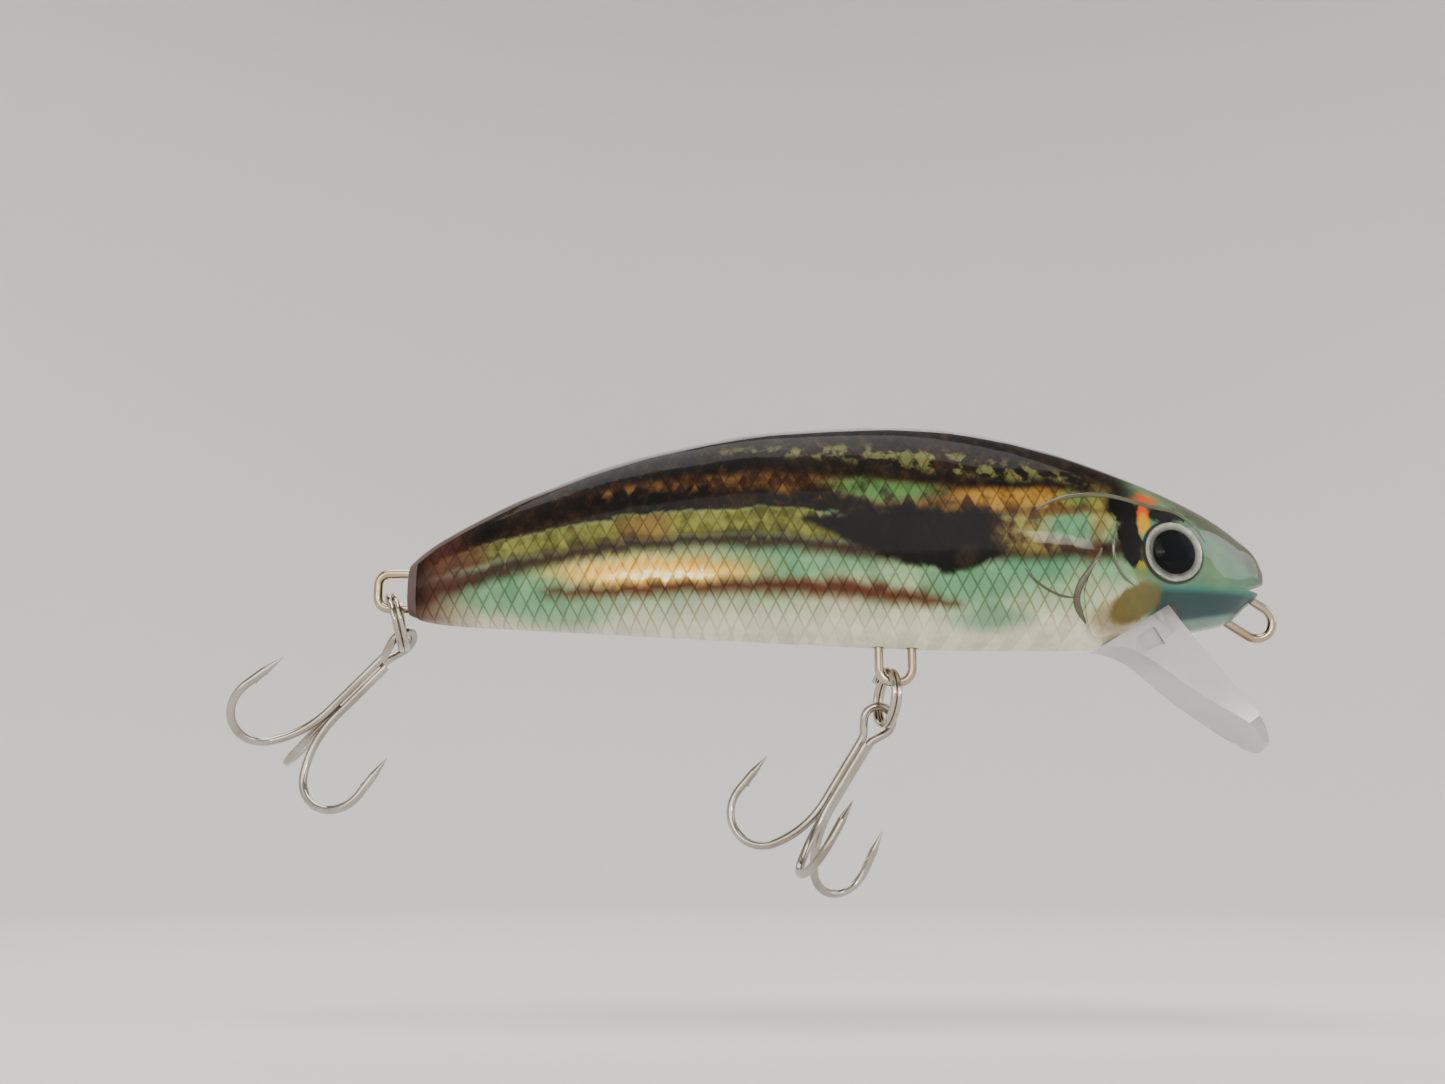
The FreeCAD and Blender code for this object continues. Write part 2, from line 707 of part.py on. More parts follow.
def double_side():
    taper = math.radians(EYE_TAPER)
    inward_run = EYE_LOOP * math.cos(taper) - EYE_BLEND * (1 - math.cos(taper)) - SHANK_HALF_GAP
    inward_run = inward_run / math.sin(taper)
    eye_drop = EYE_LOOP * (1 + math.sin(taper))
    eye_drop = eye_drop + inward_run * math.cos(taper) + EYE_BLEND * math.sin(taper)
    outward = Vector(math.cos(math.radians(30)), math.sin(math.radians(30)), 0)
    start = Vector(0, 0, EYE_TOP_Z)
    moves = [
        (EYE_LOOP, 90.0 + EYE_TAPER, SIDEWAYS),
        (inward_run,),
        (EYE_BLEND, -EYE_TAPER, SIDEWAYS),
        (SHANK_STRAIGHT - HOOK_RADIUS - eye_drop,),
    ] + hook_moves(outward)
    edges, end, heading = trace(start, AHEAD, moves)
    side = wire_along(edges, start, AHEAD, HOOK_RADIUS)
    return pointed(side, end, heading, outward)


def treble_double():
    side = double_side()
    other = side.mirror(Vector(0, 0, 0), Vector(1, 0, 0))
    return one_solid(side.fuse(other))


SINGLE_TOP = EYE_TOP_Z + HOOK_RADIUS - SINGLE_BELOW_EYE


def treble_single():
    outward = Vector(0, -1, 0)
    start = Vector(0, -GROOVE_OFFSET, SINGLE_TOP)
    bottom = EYE_TOP_Z + HOOK_RADIUS - SHANK_STRAIGHT
    moves = [(SINGLE_TOP - bottom,)] + hook_moves(outward)
    edges, end, heading = trace(start, DOWN, moves)
    return pointed(wire_along(edges, start, DOWN, HOOK_RADIUS), end, heading, outward)


def treble_braze():
    top = SINGLE_TOP - BRAZE_TOP_GAP
    bottom = EYE_TOP_Z + HOOK_RADIUS - SHANK_STRAIGHT + BRAZE_BOTTOM_GAP
    centre = Vector(0, -GROOVE_OFFSET / 3, bottom)
    corners = []
    for degrees in (30.0, 150.0, 270.0):
        way = Vector(math.cos(math.radians(degrees)), math.sin(math.radians(degrees)), 0)
        corners.append(centre + way * (HOOK_RADIUS * BRAZE_SIZE))
    face = Part.Face(Part.makePolygon(corners + [corners[0]]))
    braze = face.extrude(Vector(0, 0, top - bottom))
    round_stock = Part.makeCylinder(HOOK_RADIUS, top - bottom, Vector(0, 0, bottom), UP)
    for x, y in ((SHANK_HALF_GAP, 0), (-SHANK_HALF_GAP, 0), (0, -GROOVE_OFFSET)):
        stock = round_stock.copy()
        stock.translate(Vector(x, y, 0))
        braze = braze.cut(stock)
    return one_solid(braze)


def place_treble(shape, twist, swing, pivot):
    placed = shape.copy()
    placed.rotate(Vector(0, 0, 0), Vector(0, 0, 1), twist)
    placed.rotate(Vector(0, 0, 0), Vector(0, 1, 0), swing)
    placed.translate(pivot)
    return placed


# How the rings and trebles lie.  A ring pose is its tilt to the tail, its yaw
# and its roll about the hanger wire.  Twist turns a treble about its own shank,
# and swing carries it back to the tail.
BELLY_RING_POSE = (15.0, 9.0, 39.0)
BELLY_RING_X = BELLY_HANGER_X - 0.42
BELLY_TWIST = 10.0
BELLY_SWING = 32.0
TAIL_RING_POSE = (0.0, 18.0, 50.0)
TAIL_RING_X = TAIL_X - 1.55
TAIL_TWIST = 71.0
TAIL_SWING = 44.0

BELLY_RING_CENTRE = Vector(BELLY_RING_X, 0, BELLY_HANGER_Z) + (
    ring_turned(DOWN, BELLY_RING_POSE) * RING_REACH)
BELLY_PIVOT = BELLY_RING_CENTRE + ring_turned(DOWN, BELLY_RING_POSE) * COIL_RADIUS
TAIL_RING_CENTRE = Vector(TAIL_RING_X, 0, TAIL_LOWER_Z) + (
    ring_turned(DOWN, TAIL_RING_POSE) * RING_REACH)
TAIL_PIVOT = TAIL_RING_CENTRE + ring_turned(DOWN, TAIL_RING_POSE) * COIL_RADIUS


def main():
    nodes = {}
    half = right_half_solid()
    nodes["right_shell"] = right_shell_solid(half)
    nodes["left_shell"] = left_shell_solid(half)
    nodes["diving_lip"] = diving_lip_solid()
    film = right_film_solid()
    nodes["right_skin_film"] = film
    nodes["left_skin_film"] = mirror_left(film)

    eye_pieces = {
        "eye_iris": eye_cylinder(EYE_DIAMETER / 2, 0.0, IRIS_THICK),
        "eye_pupil": eye_cylinder(PUPIL_RADIUS, IRIS_THICK, IRIS_THICK + PUPIL_THICK),
        "eye_lens": eye_lens_solid(),
    }
    for name, piece in eye_pieces.items():
        nodes["right_" + name] = piece
        nodes["left_" + name] = mirror_left(piece)

    nodes["line_tie"] = line_tie_wire(HANGER_RADIUS)
    nodes["belly_hanger"] = belly_hanger_wire(HANGER_RADIUS)
    nodes["tail_hanger"] = tail_hanger_wire(HANGER_RADIUS)
    nodes["belly_ballast"] = ballast_solid()

    for index, place in enumerate(("front", "middle", "rear")[:BALL_COUNT]):
        x = TUBE_FRONT - BALL_DIAMETER * (index + 0.5) - BALL_START
        nodes["weight_ball_" + place] = Part.makeSphere(BALL_DIAMETER / 2, Vector(x, 0, TUBE_Z))

    nodes["belly_ring"] = split_ring(BELLY_RING_POSE, BELLY_RING_CENTRE)
    nodes["tail_ring"] = split_ring(TAIL_RING_POSE, TAIL_RING_CENTRE)
    treble = {"double": treble_double(), "single": treble_single(), "braze": treble_braze()}
    for name, piece in treble.items():
        nodes["belly_treble_" + name] = place_treble(
            piece, BELLY_TWIST, BELLY_SWING, BELLY_PIVOT)
        nodes["tail_treble_" + name] = place_treble(
            piece, TAIL_TWIST, TAIL_SWING, TAIL_PIVOT)

    for name, shape in nodes.items():
        shape.exportStep("parts/" + name + ".step")
        box = shape.BoundBox
        print(name, shape.ShapeType, len(shape.Solids), "solids, valid", shape.isValid(),
              "volume", round(shape.Volume, 3),
              "box", [round(value, 2) for value in (box.XMin, box.XMax, box.YMin,
                                                    box.YMax, box.ZMin, box.ZMax)])
    print("belly pivot", BELLY_PIVOT, "axis", ring_turned(SIDEWAYS, BELLY_RING_POSE))
    print("tail pivot", TAIL_PIVOT, "axis", ring_turned(SIDEWAYS, TAIL_RING_POSE))
    print("belly ring wire", BELLY_RING_X, BELLY_HANGER_Z, "tail", TAIL_RING_X, TAIL_LOWER_Z)
    print("ball travel", TUBE_FRONT - TUBE_BACK - BALL_COUNT * BALL_DIAMETER - 2 * BALL_START)


main()
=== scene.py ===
import json
import math

import bmesh
import bpy
from mathutils import Matrix, Vector
from mathutils.bvhtree import BVHTree


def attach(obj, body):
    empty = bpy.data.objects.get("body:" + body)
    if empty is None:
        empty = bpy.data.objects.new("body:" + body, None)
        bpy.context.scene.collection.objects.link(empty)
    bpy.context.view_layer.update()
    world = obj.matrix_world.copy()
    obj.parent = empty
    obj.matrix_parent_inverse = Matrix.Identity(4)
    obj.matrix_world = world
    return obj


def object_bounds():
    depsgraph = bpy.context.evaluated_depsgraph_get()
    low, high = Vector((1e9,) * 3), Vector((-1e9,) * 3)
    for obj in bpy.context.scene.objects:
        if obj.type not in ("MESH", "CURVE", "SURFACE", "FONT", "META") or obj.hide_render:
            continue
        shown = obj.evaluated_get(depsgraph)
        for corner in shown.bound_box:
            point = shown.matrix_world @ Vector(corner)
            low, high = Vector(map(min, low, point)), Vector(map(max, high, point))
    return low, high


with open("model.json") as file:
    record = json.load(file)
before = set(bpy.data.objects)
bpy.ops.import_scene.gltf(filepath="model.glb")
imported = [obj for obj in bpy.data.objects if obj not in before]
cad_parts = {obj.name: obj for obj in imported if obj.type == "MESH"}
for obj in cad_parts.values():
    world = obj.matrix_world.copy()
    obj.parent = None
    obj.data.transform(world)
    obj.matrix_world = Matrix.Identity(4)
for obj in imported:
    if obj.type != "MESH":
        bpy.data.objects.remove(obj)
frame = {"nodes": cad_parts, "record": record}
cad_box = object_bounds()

# A clear-bodied crankbait: printed skin, clear sloping lip, domed eyes and
# bright tackle.  Lengths in the material and shape settings are millimetres.
MM = 0.001

EYE_X = -9.99
EYE_Z = 6.41
EYE_RADIUS = 3.1
FLOOR_DROP = 12.0
BACKDROP_RADIUS = 620.0
BACKDROP_BEND = 260.0
BACKDROP_HEIGHT = 900.0
BACKDROP_BEND_STEPS = 12
BACKDROP_TURN_STEPS = 96
PAPER_ROUGHNESS = 0.95
PAPER_CLOUD = 0.97
# Corners closer than this, in metres, become one.
MERGE_DISTANCE = 1e-4
RIDGE_MERGE_DISTANCE = 1e-7

CREAM = (0.44, 0.46, 0.31)
BELLY_WHITE = (0.62, 0.60, 0.50)
PALE_GREEN = (0.27, 0.40, 0.25)
SEA_GREEN = (0.145, 0.32, 0.205)
TEAL = (0.030, 0.20, 0.165)
DEEP_TEAL = (0.002, 0.058, 0.064)
SAGE = (0.115, 0.215, 0.145)
# gold gilt brightened by a painted glint, and a pale gold painted highlight
GILT_AND_PAINTED_GLINT = (0.75, 0.44, 0.07)
PAINTED_GLINT_PALE_GOLD = (1.0, 0.82, 0.34)
REDDISH = (0.13, 0.028, 0.012)
DARK_BROWN = (0.006, 0.003, 0.002)
BACK_BROWN = (0.030, 0.018, 0.009)
PLUM_BROWN = (0.145, 0.062, 0.052)
ORANGE = (0.55, 0.11, 0.003)
YELLOW = (0.50, 0.34, 0.005)
GILT_GROUND = (0.50, 0.42, 0.17)
# painted highlights on the gilt: white and gold beads of reflected light
PAINTED_HIGHLIGHT_WHITE = (1.0, 0.97, 0.80)
PAINTED_HIGHLIGHT_GOLD = (0.85, 0.66, 0.26)
SCALE_EDGE = (0.36, 0.24, 0.13)
BROWN_HAZE = (0.066, 0.038, 0.018)
UMBER = (0.060, 0.027, 0.012)
TAWNY = (0.20, 0.125, 0.045)
MOSS = (0.070, 0.10, 0.045)
LEAF_GREEN = (0.115, 0.24, 0.10)
BRONZE = (0.17, 0.095, 0.025)
OLD_GOLD = (0.36, 0.24, 0.065)
YOUNG_LEAF = (0.16, 0.24, 0.085)
SPOT_GREEN = (0.19, 0.20, 0.085)
DEEP_OLIVE = (0.120, 0.125, 0.028)
PALE_OLIVE = (0.23, 0.24, 0.075)
FAWN = (0.26, 0.155, 0.060)
LINE_BROWN = (0.060, 0.029, 0.013)
BLOTCH_GLINT = (0.075, 0.055, 0.028)
PLUM_BAND = (0.12, 0.050, 0.030)
TAIL_TIP = (0.022, 0.010, 0.007)
CHESTNUT = (0.10, 0.040, 0.014)
STRAW = (0.25, 0.22, 0.075)
PALE_STRAW = (0.28, 0.26, 0.085)
RUST = (0.16, 0.075, 0.028)
DEEP_RUST = (0.17, 0.070, 0.028)
PALE_SAGE = (0.165, 0.26, 0.155)
CROWN_OLIVE = (0.105, 0.10, 0.062)
CHIN_GREEN = (0.22, 0.34, 0.27)
LIME = (0.16, 0.20, 0.035)
THROAT_TAN = (0.24, 0.18, 0.095)
THROAT_OLIVE = (0.165, 0.135, 0.045)
EYE_LINE = (0.016, 0.020, 0.009)
METAL_DIRT = (0.22, 0.19, 0.15)
FOIL_DARK = (0.16, 0.17, 0.14)
FOIL_PALE = (0.62, 0.64, 0.56)
PUPIL_BLACK = (0.003, 0.004, 0.005)
PUPIL_DUSTY = (0.008, 0.010, 0.012)
RIDGE_TINT = (0.15, 0.15, 0.10)
RIDGE_DEEP_TINT = (0.09, 0.08, 0.05)
PAPER = (0.74, 0.73, 0.71)

PLASTIC_BENDING = 1.49
LENS_BENDING = 1.12


# ------------------------------------------------------------ node helpers
class Wiring:
    """Places nodes in one tree and joins them, so a recipe reads as sums."""

    def __init__(self, tree):
        self.tree = tree

    def node(self, kind, **settings):
        made = self.tree.nodes.new(kind)
        for name, value in settings.items():
            setattr(made, name, value)
        return made

    def give(self, socket, value):
        if isinstance(value, bpy.types.NodeSocket):
            self.tree.links.new(value, socket)
        elif isinstance(value, tuple) and len(value) == 3 and socket.type == "RGBA":
            socket.default_value = value + (1.0,)
        else:
            socket.default_value = value

    def math(self, operation, first, second=0.0, third=0.0, clamp=False):
        made = self.node("ShaderNodeMath", operation=operation, use_clamp=clamp)
        for socket, value in zip(made.inputs, (first, second, third)):
            self.give(socket, value)
        return made.outputs[0]

    def smooth(self, value, low, high):
        """0 below low and 1 above high, with soft ends; low may be the larger."""
        made = self.node("ShaderNodeMapRange", interpolation_type="SMOOTHSTEP")
        self.give(made.inputs["Value"], value)
        self.give(made.inputs["From Min"], low)
        self.give(made.inputs["From Max"], high)
        return made.outputs["Result"]

    def curve(self, value, points, low, high):
        """A smooth line through (place, height) points, read at value."""
        first = points[0][0]
        last = points[-1][0]
        share = self.math("DIVIDE", self.math("SUBTRACT", value, first), last - first, clamp=True)
        made = self.node("ShaderNodeFloatCurve")
        line = made.mapping.curves[0]
        while len(line.points) < len(points):
            line.points.new(0.5, 0.5)
        for point, (place, height) in zip(line.points, points):
            point.location = ((place - first) / (last - first), (height - low) / (high - low))
        made.mapping.update()
        self.give(made.inputs["Value"], share)
        return self.math("MULTIPLY_ADD", made.outputs[0], high - low, low)

    def mix(self, mask, below, above):
        made = self.node("ShaderNodeMix", data_type="RGBA")
        self.give(made.inputs["Factor"], mask)
        self.give(made.inputs["A"], below)
        self.give(made.inputs["B"], above)
        return made.outputs["Result"]

    def noise(self, place, scale, detail=3.0, stretch=None):
        if stretch:
            spread = self.node("ShaderNodeMapping")
            spread.inputs["Scale"].default_value = stretch
            self.give(spread.inputs["Vector"], place)
            place = spread.outputs["Vector"]
        made = self.node("ShaderNodeTexNoise")
        self.give(made.inputs["Vector"], place)
        made.inputs["Scale"].default_value = scale
        made.inputs["Detail"].default_value = detail
        return made

    def use(self, group, **values):
        made = self.node("ShaderNodeGroup", node_tree=group)
        for name, value in values.items():
            self.give(made.inputs[name.replace("_", " ")], value)
        return made


def new_group(name, inputs, outputs):
    group = bpy.data.node_groups.new(name, "ShaderNodeTree")
    for label, kind, default in inputs:
        socket = group.interface.new_socket(name=label, in_out="INPUT", socket_type=kind)
        if default is not None:
            socket.default_value = default
    for label, kind in outputs:
        group.interface.new_socket(name=label, in_out="OUTPUT", socket_type=kind)
    wires = Wiring(group)
    return group, wires, wires.node("NodeGroupInput"), wires.node("NodeGroupOutput")


NUMBER = "NodeSocketFloat"
VECTOR = "NodeSocketVector"


def make_stripe_group():
    """A lengthwise stripe: full inside its half height, faded at its edges."""
    group, wires, given, result = new_group(
        "stripe", [("Height", NUMBER, 0.0), ("Middle", NUMBER, 0.0),
                   ("Half", NUMBER, 1.0), ("Soft", NUMBER, 0.4)],
        [("Mask", NUMBER)])
    away = wires.math("ABSOLUTE", wires.math("SUBTRACT", given.outputs["Height"],
                                             given.outputs["Middle"]))
    edge = wires.math("SUBTRACT", given.outputs["Half"], away)
    outer = wires.math("MULTIPLY", given.outputs["Soft"], -1.0)
    mask = wires.smooth(edge, outer, given.outputs["Soft"])
    there = wires.smooth(given.outputs["Half"], 0.0, 0.25)
    wires.give(result.inputs["Mask"], wires.math("MULTIPLY", mask, there))
    return group


def make_spot_group():
    """A soft-edged oval patch in the side plane."""
    group, wires, given, result = new_group(
        "spot", [("Along", NUMBER, 0.0), ("Height", NUMBER, 0.0), ("Centre along", NUMBER, 0.0),
                 ("Centre height", NUMBER, 0.0), ("Radius along", NUMBER, 1.0),
                 ("Radius height", NUMBER, 1.0), ("Lean", NUMBER, 0.0), ("Soft", NUMBER, 0.2)],
        [("Mask", NUMBER)])
    along = wires.math("SUBTRACT", given.outputs["Along"], given.outputs["Centre along"])
    up = wires.math("SUBTRACT", given.outputs["Height"], given.outputs["Centre height"])
    leaned = wires.math("SUBTRACT", along, wires.math("MULTIPLY", up, given.outputs["Lean"]))
    first = wires.math("DIVIDE", leaned, given.outputs["Radius along"])
    second = wires.math("DIVIDE", up, given.outputs["Radius height"])
    reach = wires.math("SQRT", wires.math("ADD", wires.math("MULTIPLY", first, first),
                                          wires.math("MULTIPLY", second, second)))
    far = wires.math("ADD", 1.0, given.outputs["Soft"])
    near = wires.math("SUBTRACT", 1.0, given.outputs["Soft"])
    wires.give(result.inputs["Mask"], wires.smooth(reach, far, near))
    return group


def make_scale_group():
    """Fish scales as a leaning lattice: the lines between them and a random tone for each."""
    group, wires, given, result = new_group(
        "scales", [("Along", NUMBER, 0.0), ("Height", NUMBER, 0.0), ("Width", NUMBER, 1.5),
                   ("Tall", NUMBER, 2.8), ("Line", NUMBER, 0.16)],
        [("Lines", NUMBER), ("Tone", NUMBER)])
    across = wires.math("DIVIDE", given.outputs["Along"], given.outputs["Width"])
    up = wires.math("DIVIDE", given.outputs["Height"], given.outputs["Tall"])
    masks = []
    cells = []
    for operation in ("ADD", "SUBTRACT"):
        slant = wires.math(operation, across, up)
        cells.append(wires.math("FLOOR", slant))
        inside = wires.math("FRACT", slant)
        to_line = wires.math("MINIMUM", inside, wires.math("SUBTRACT", 1.0, inside))
        masks.append(wires.smooth(to_line, given.outputs["Line"], 0.0))
    wires.give(result.inputs["Lines"], wires.math("MAXIMUM", masks[0], masks[1]))
    cell = wires.node("ShaderNodeCombineXYZ")
    wires.give(cell.inputs["X"], cells[0])
    wires.give(cell.inputs["Y"], cells[1])
    random = wires.node("ShaderNodeTexWhiteNoise", noise_dimensions="3D")
    wires.give(random.inputs["Vector"], cell.outputs["Vector"])
    wires.give(result.inputs["Tone"], random.outputs["Value"])
    return group


def make_wear_group():
    """Handling marks: fine specks of dust and soft uneven gloss."""
    group, wires, given, result = new_group(
        "wear", [("Place", VECTOR, None), ("Base roughness", NUMBER, 0.1),
                 ("Spread", NUMBER, 0.1), ("Speck scale", NUMBER, 900.0)],
        [("Roughness", NUMBER), ("Specks", NUMBER), ("Patches", NUMBER)])
    patches = wires.noise(given.outputs["Place"], 160.0, detail=4.0)
    specks = wires.noise(given.outputs["Place"], 1.0, detail=1.0)
    wires.tree.links.new(given.outputs["Speck scale"], specks.inputs["Scale"])
    level = wires.smooth(patches.outputs["Fac"], 0.3, 0.75)
    roughness = wires.math("MULTIPLY_ADD", level, given.outputs["Spread"],
                           given.outputs["Base roughness"])
    wires.give(result.inputs["Roughness"], roughness)
    wires.give(result.inputs["Specks"], wires.smooth(specks.outputs["Fac"], 0.70, 0.76))
    wires.give(result.inputs["Patches"], level)
    return group


STRIPE = make_stripe_group()
SPOT = make_spot_group()
SCALES = make_scale_group()
WEAR = make_wear_group()


def new_material(name, display):
    material = bpy.data.materials.new(name)
    material.use_nodes = True
    material.diffuse_color = display + (1.0,)
    wires = Wiring(material.node_tree)
    shader = material.node_tree.nodes["Principled BSDF"]
    place = wires.node("ShaderNodeTexCoord").outputs["Object"]
    return material, wires, shader, place


# ------------------------------------------------------------ printed skin and painted highlights
# Each line is (place, height) points.  Places run back from the line tie and
# heights up from it, in millimetres.  A HALF line gives a stripe half its height.
UPPER_BAND_MIDDLE = [(-89.5, 8.0), (-74.0, 12.4), (-61.0, 13.8), (-52.0, 13.9), (-45.0, 13.3),
                     (-35.0, 12.1), (-28.0, 11.7), (-22.0, 12.0), (-17.0, 11.4)]
UPPER_BAND_HALF = [(-89.5, 0.0), (-74.0, 0.1), (-66.0, 0.5), (-54.0, 0.9), (-45.0, 1.15),
                   (-33.0, 1.3), (-25.0, 1.15), (-19.0, 0.8), (-17.0, 0.0)]
GREEN_BAND_MIDDLE = [(-89.5, 4.3), (-82.0, 6.5), (-75.0, 7.7), (-68.0, 8.7), (-61.0, 9.4),
                     (-54.0, 9.5), (-47.0, 9.2), (-41.0, 7.3)]
GREEN_BAND_HALF = [(-89.5, 0.8), (-82.0, 1.0), (-75.0, 1.2), (-61.0, 1.3), (-54.0, 1.4),
                   (-47.0, 1.4), (-44.0, 0.8), (-41.0, 0.0)]
DARK_LINE_MIDDLE = [(-89.5, 2.2), (-82.0, 4.3), (-75.0, 5.9), (-68.0, 7.0), (-61.0, 7.5),
                    (-54.0, 7.5), (-47.0, 7.1), (-41.0, 6.4)]
DARK_LINE_HALF = [(-89.5, 1.3), (-82.0, 1.0), (-75.0, 0.85), (-61.0, 0.75), (-54.0, 0.75),
                  (-47.0, 0.8), (-41.0, 1.0)]
DARK_TOP_EDGE = [(-89.5, 4.6), (-82.0, 7.3), (-75.0, 8.8), (-68.0, 10.0), (-61.0, 10.7),
                 (-54.0, 10.9), (-47.0, 10.6), (-40.0, 9.6), (-31.0, 9.4), (-25.0, 10.2),
                 (-16.0, 10.6)]
RED_LINE_MIDDLE = [(-76.0, 2.3), (-68.0, 2.6), (-61.0, 2.8), (-47.0, 2.7), (-41.0, 2.2),
                   (-31.0, 0.9)]
RED_LINE_HALF = [(-76.0, 0.0), (-71.0, 0.5), (-56.0, 0.65), (-40.0, 0.85), (-31.0, 0.0)]
BLOTCH_MIDDLE = [(-49.0, 9.9), (-45.0, 9.2), (-41.0, 8.4), (-36.5, 7.8), (-32.0, 7.2),
                 (-28.0, 7.9), (-26.0, 8.2)]
BLOTCH_HALF = [(-49.0, 0.0), (-45.0, 1.0), (-41.0, 2.1), (-36.5, 2.9), (-32.0, 3.1),
               (-28.0, 1.9), (-26.0, 0.0)]
SPOT_ROW_MIDDLE = [(-62.0, 17.6), (-46.0, 17.3), (-39.0, 16.6), (-32.0, 15.8), (-22.0, 14.5),
                   (-17.0, 13.4)]
SPOT_ROW_HALF = [(-62.0, 0.0), (-50.0, 0.5), (-40.0, 1.2), (-31.0, 1.3), (-22.0, 0.7),
                 (-17.0, 0.0)]


# Soft patches: place, height, half length, half height and strength.
SEA_GREEN_PATCHES = [(-79.0, 2.6, 5.5, 2.2, 0.7), (-72.5, 0.6, 5.0, 1.5, 0.6),
                     (-50.0, 5.2, 9.0, 1.2, 0.5), (-31.0, 2.6, 5.0, 1.8, 0.75),
                     (-29.0, -0.4, 4.0, 1.3, 0.7), (-24.0, 5.6, 4.5, 2.6, 0.8),
                     (-16.5, 5.4, 3.0, 2.8, 0.5)]
# Patches with their own colour: colour, place, height, half length, half
# height, lean, softness and strength, in the order they are printed.
SHOULDER_PATCHES = [(SEA_GREEN, -20.8, 9.0, 2.6, 1.6, 0.0, 0.5, 0.85),
                    (PALE_STRAW, -17.2, 10.6, 1.6, 2.6, 0.0, 0.5, 0.65),
                    (RUST, -22.5, 10.6, 5.0, 0.45, 0.0, 0.7, 0.7),
                    (DEEP_RUST, -18.0, 8.0, 0.7, 2.6, 0.4, 0.7, 0.45)]
BEHIND_EYE_PATCHES = [(DARK_BROWN, -15.2, 10.9, 1.7, 1.7, -0.4, 0.2, 1.0),
                      (DARK_BROWN, -14.6, 7.3, 1.35, 2.7, -0.1, 0.18, 1.0),
                      (DARK_BROWN, -10.2, 10.5, 2.3, 0.85, -0.5, 0.3, 1.0),
                      (ORANGE, -12.4, 12.2, 1.7, 0.7, 0.0, 0.5, 0.7),
                      (ORANGE, -13.0, 10.6, 0.60, 2.0, 0.15, 0.35, 0.9),
                      (YELLOW, -13.0, 9.4, 0.6, 0.9, 0.0, 0.45, 0.9),
                      (YELLOW, -13.6, 4.8, 0.55, 0.45, 0.0, 0.45, 0.7),
                      (LIME, -13.6, 4.2, 1.0, 0.9, 0.0, 0.5, 0.5)]
THROAT_PATCHES = [(THROAT_TAN, -16.6, -0.6, 2.3, 1.5, -0.2, 0.5, 0.65),
                  (THROAT_OLIVE, -14.3, 1.0, 2.6, 2.15, 0.55, 0.16, 0.9)]

# How far grain and scales push the edges of the print about, in millimetres.
GRAIN_PUSH_UP = 0.55
SCALE_PUSH_UP = 0.5
GRAIN_PUSH_ALONG = 1.0
DRIFT_PUSH_ALONG = 2.5
# How closely each grain repeats.
FINE_GRAIN = 900.0
BROAD_GRAIN = 170.0
DOT_GRAIN = 780.0
# One scale, and the limits of every stripe, in millimetres.
SCALE_WIDTH = 1.52
SCALE_TALL = 2.75
SCALE_LINE = 0.13
LOWEST_STRIPE = -5.0
HIGHEST_STRIPE = 25.0
WIDEST_STRIPE = 4.0
EYE_LINE_WIDTH = 0.30
# The power the finished colours are raised to: above one they are deeper.
INK_DEPTH = 1.45


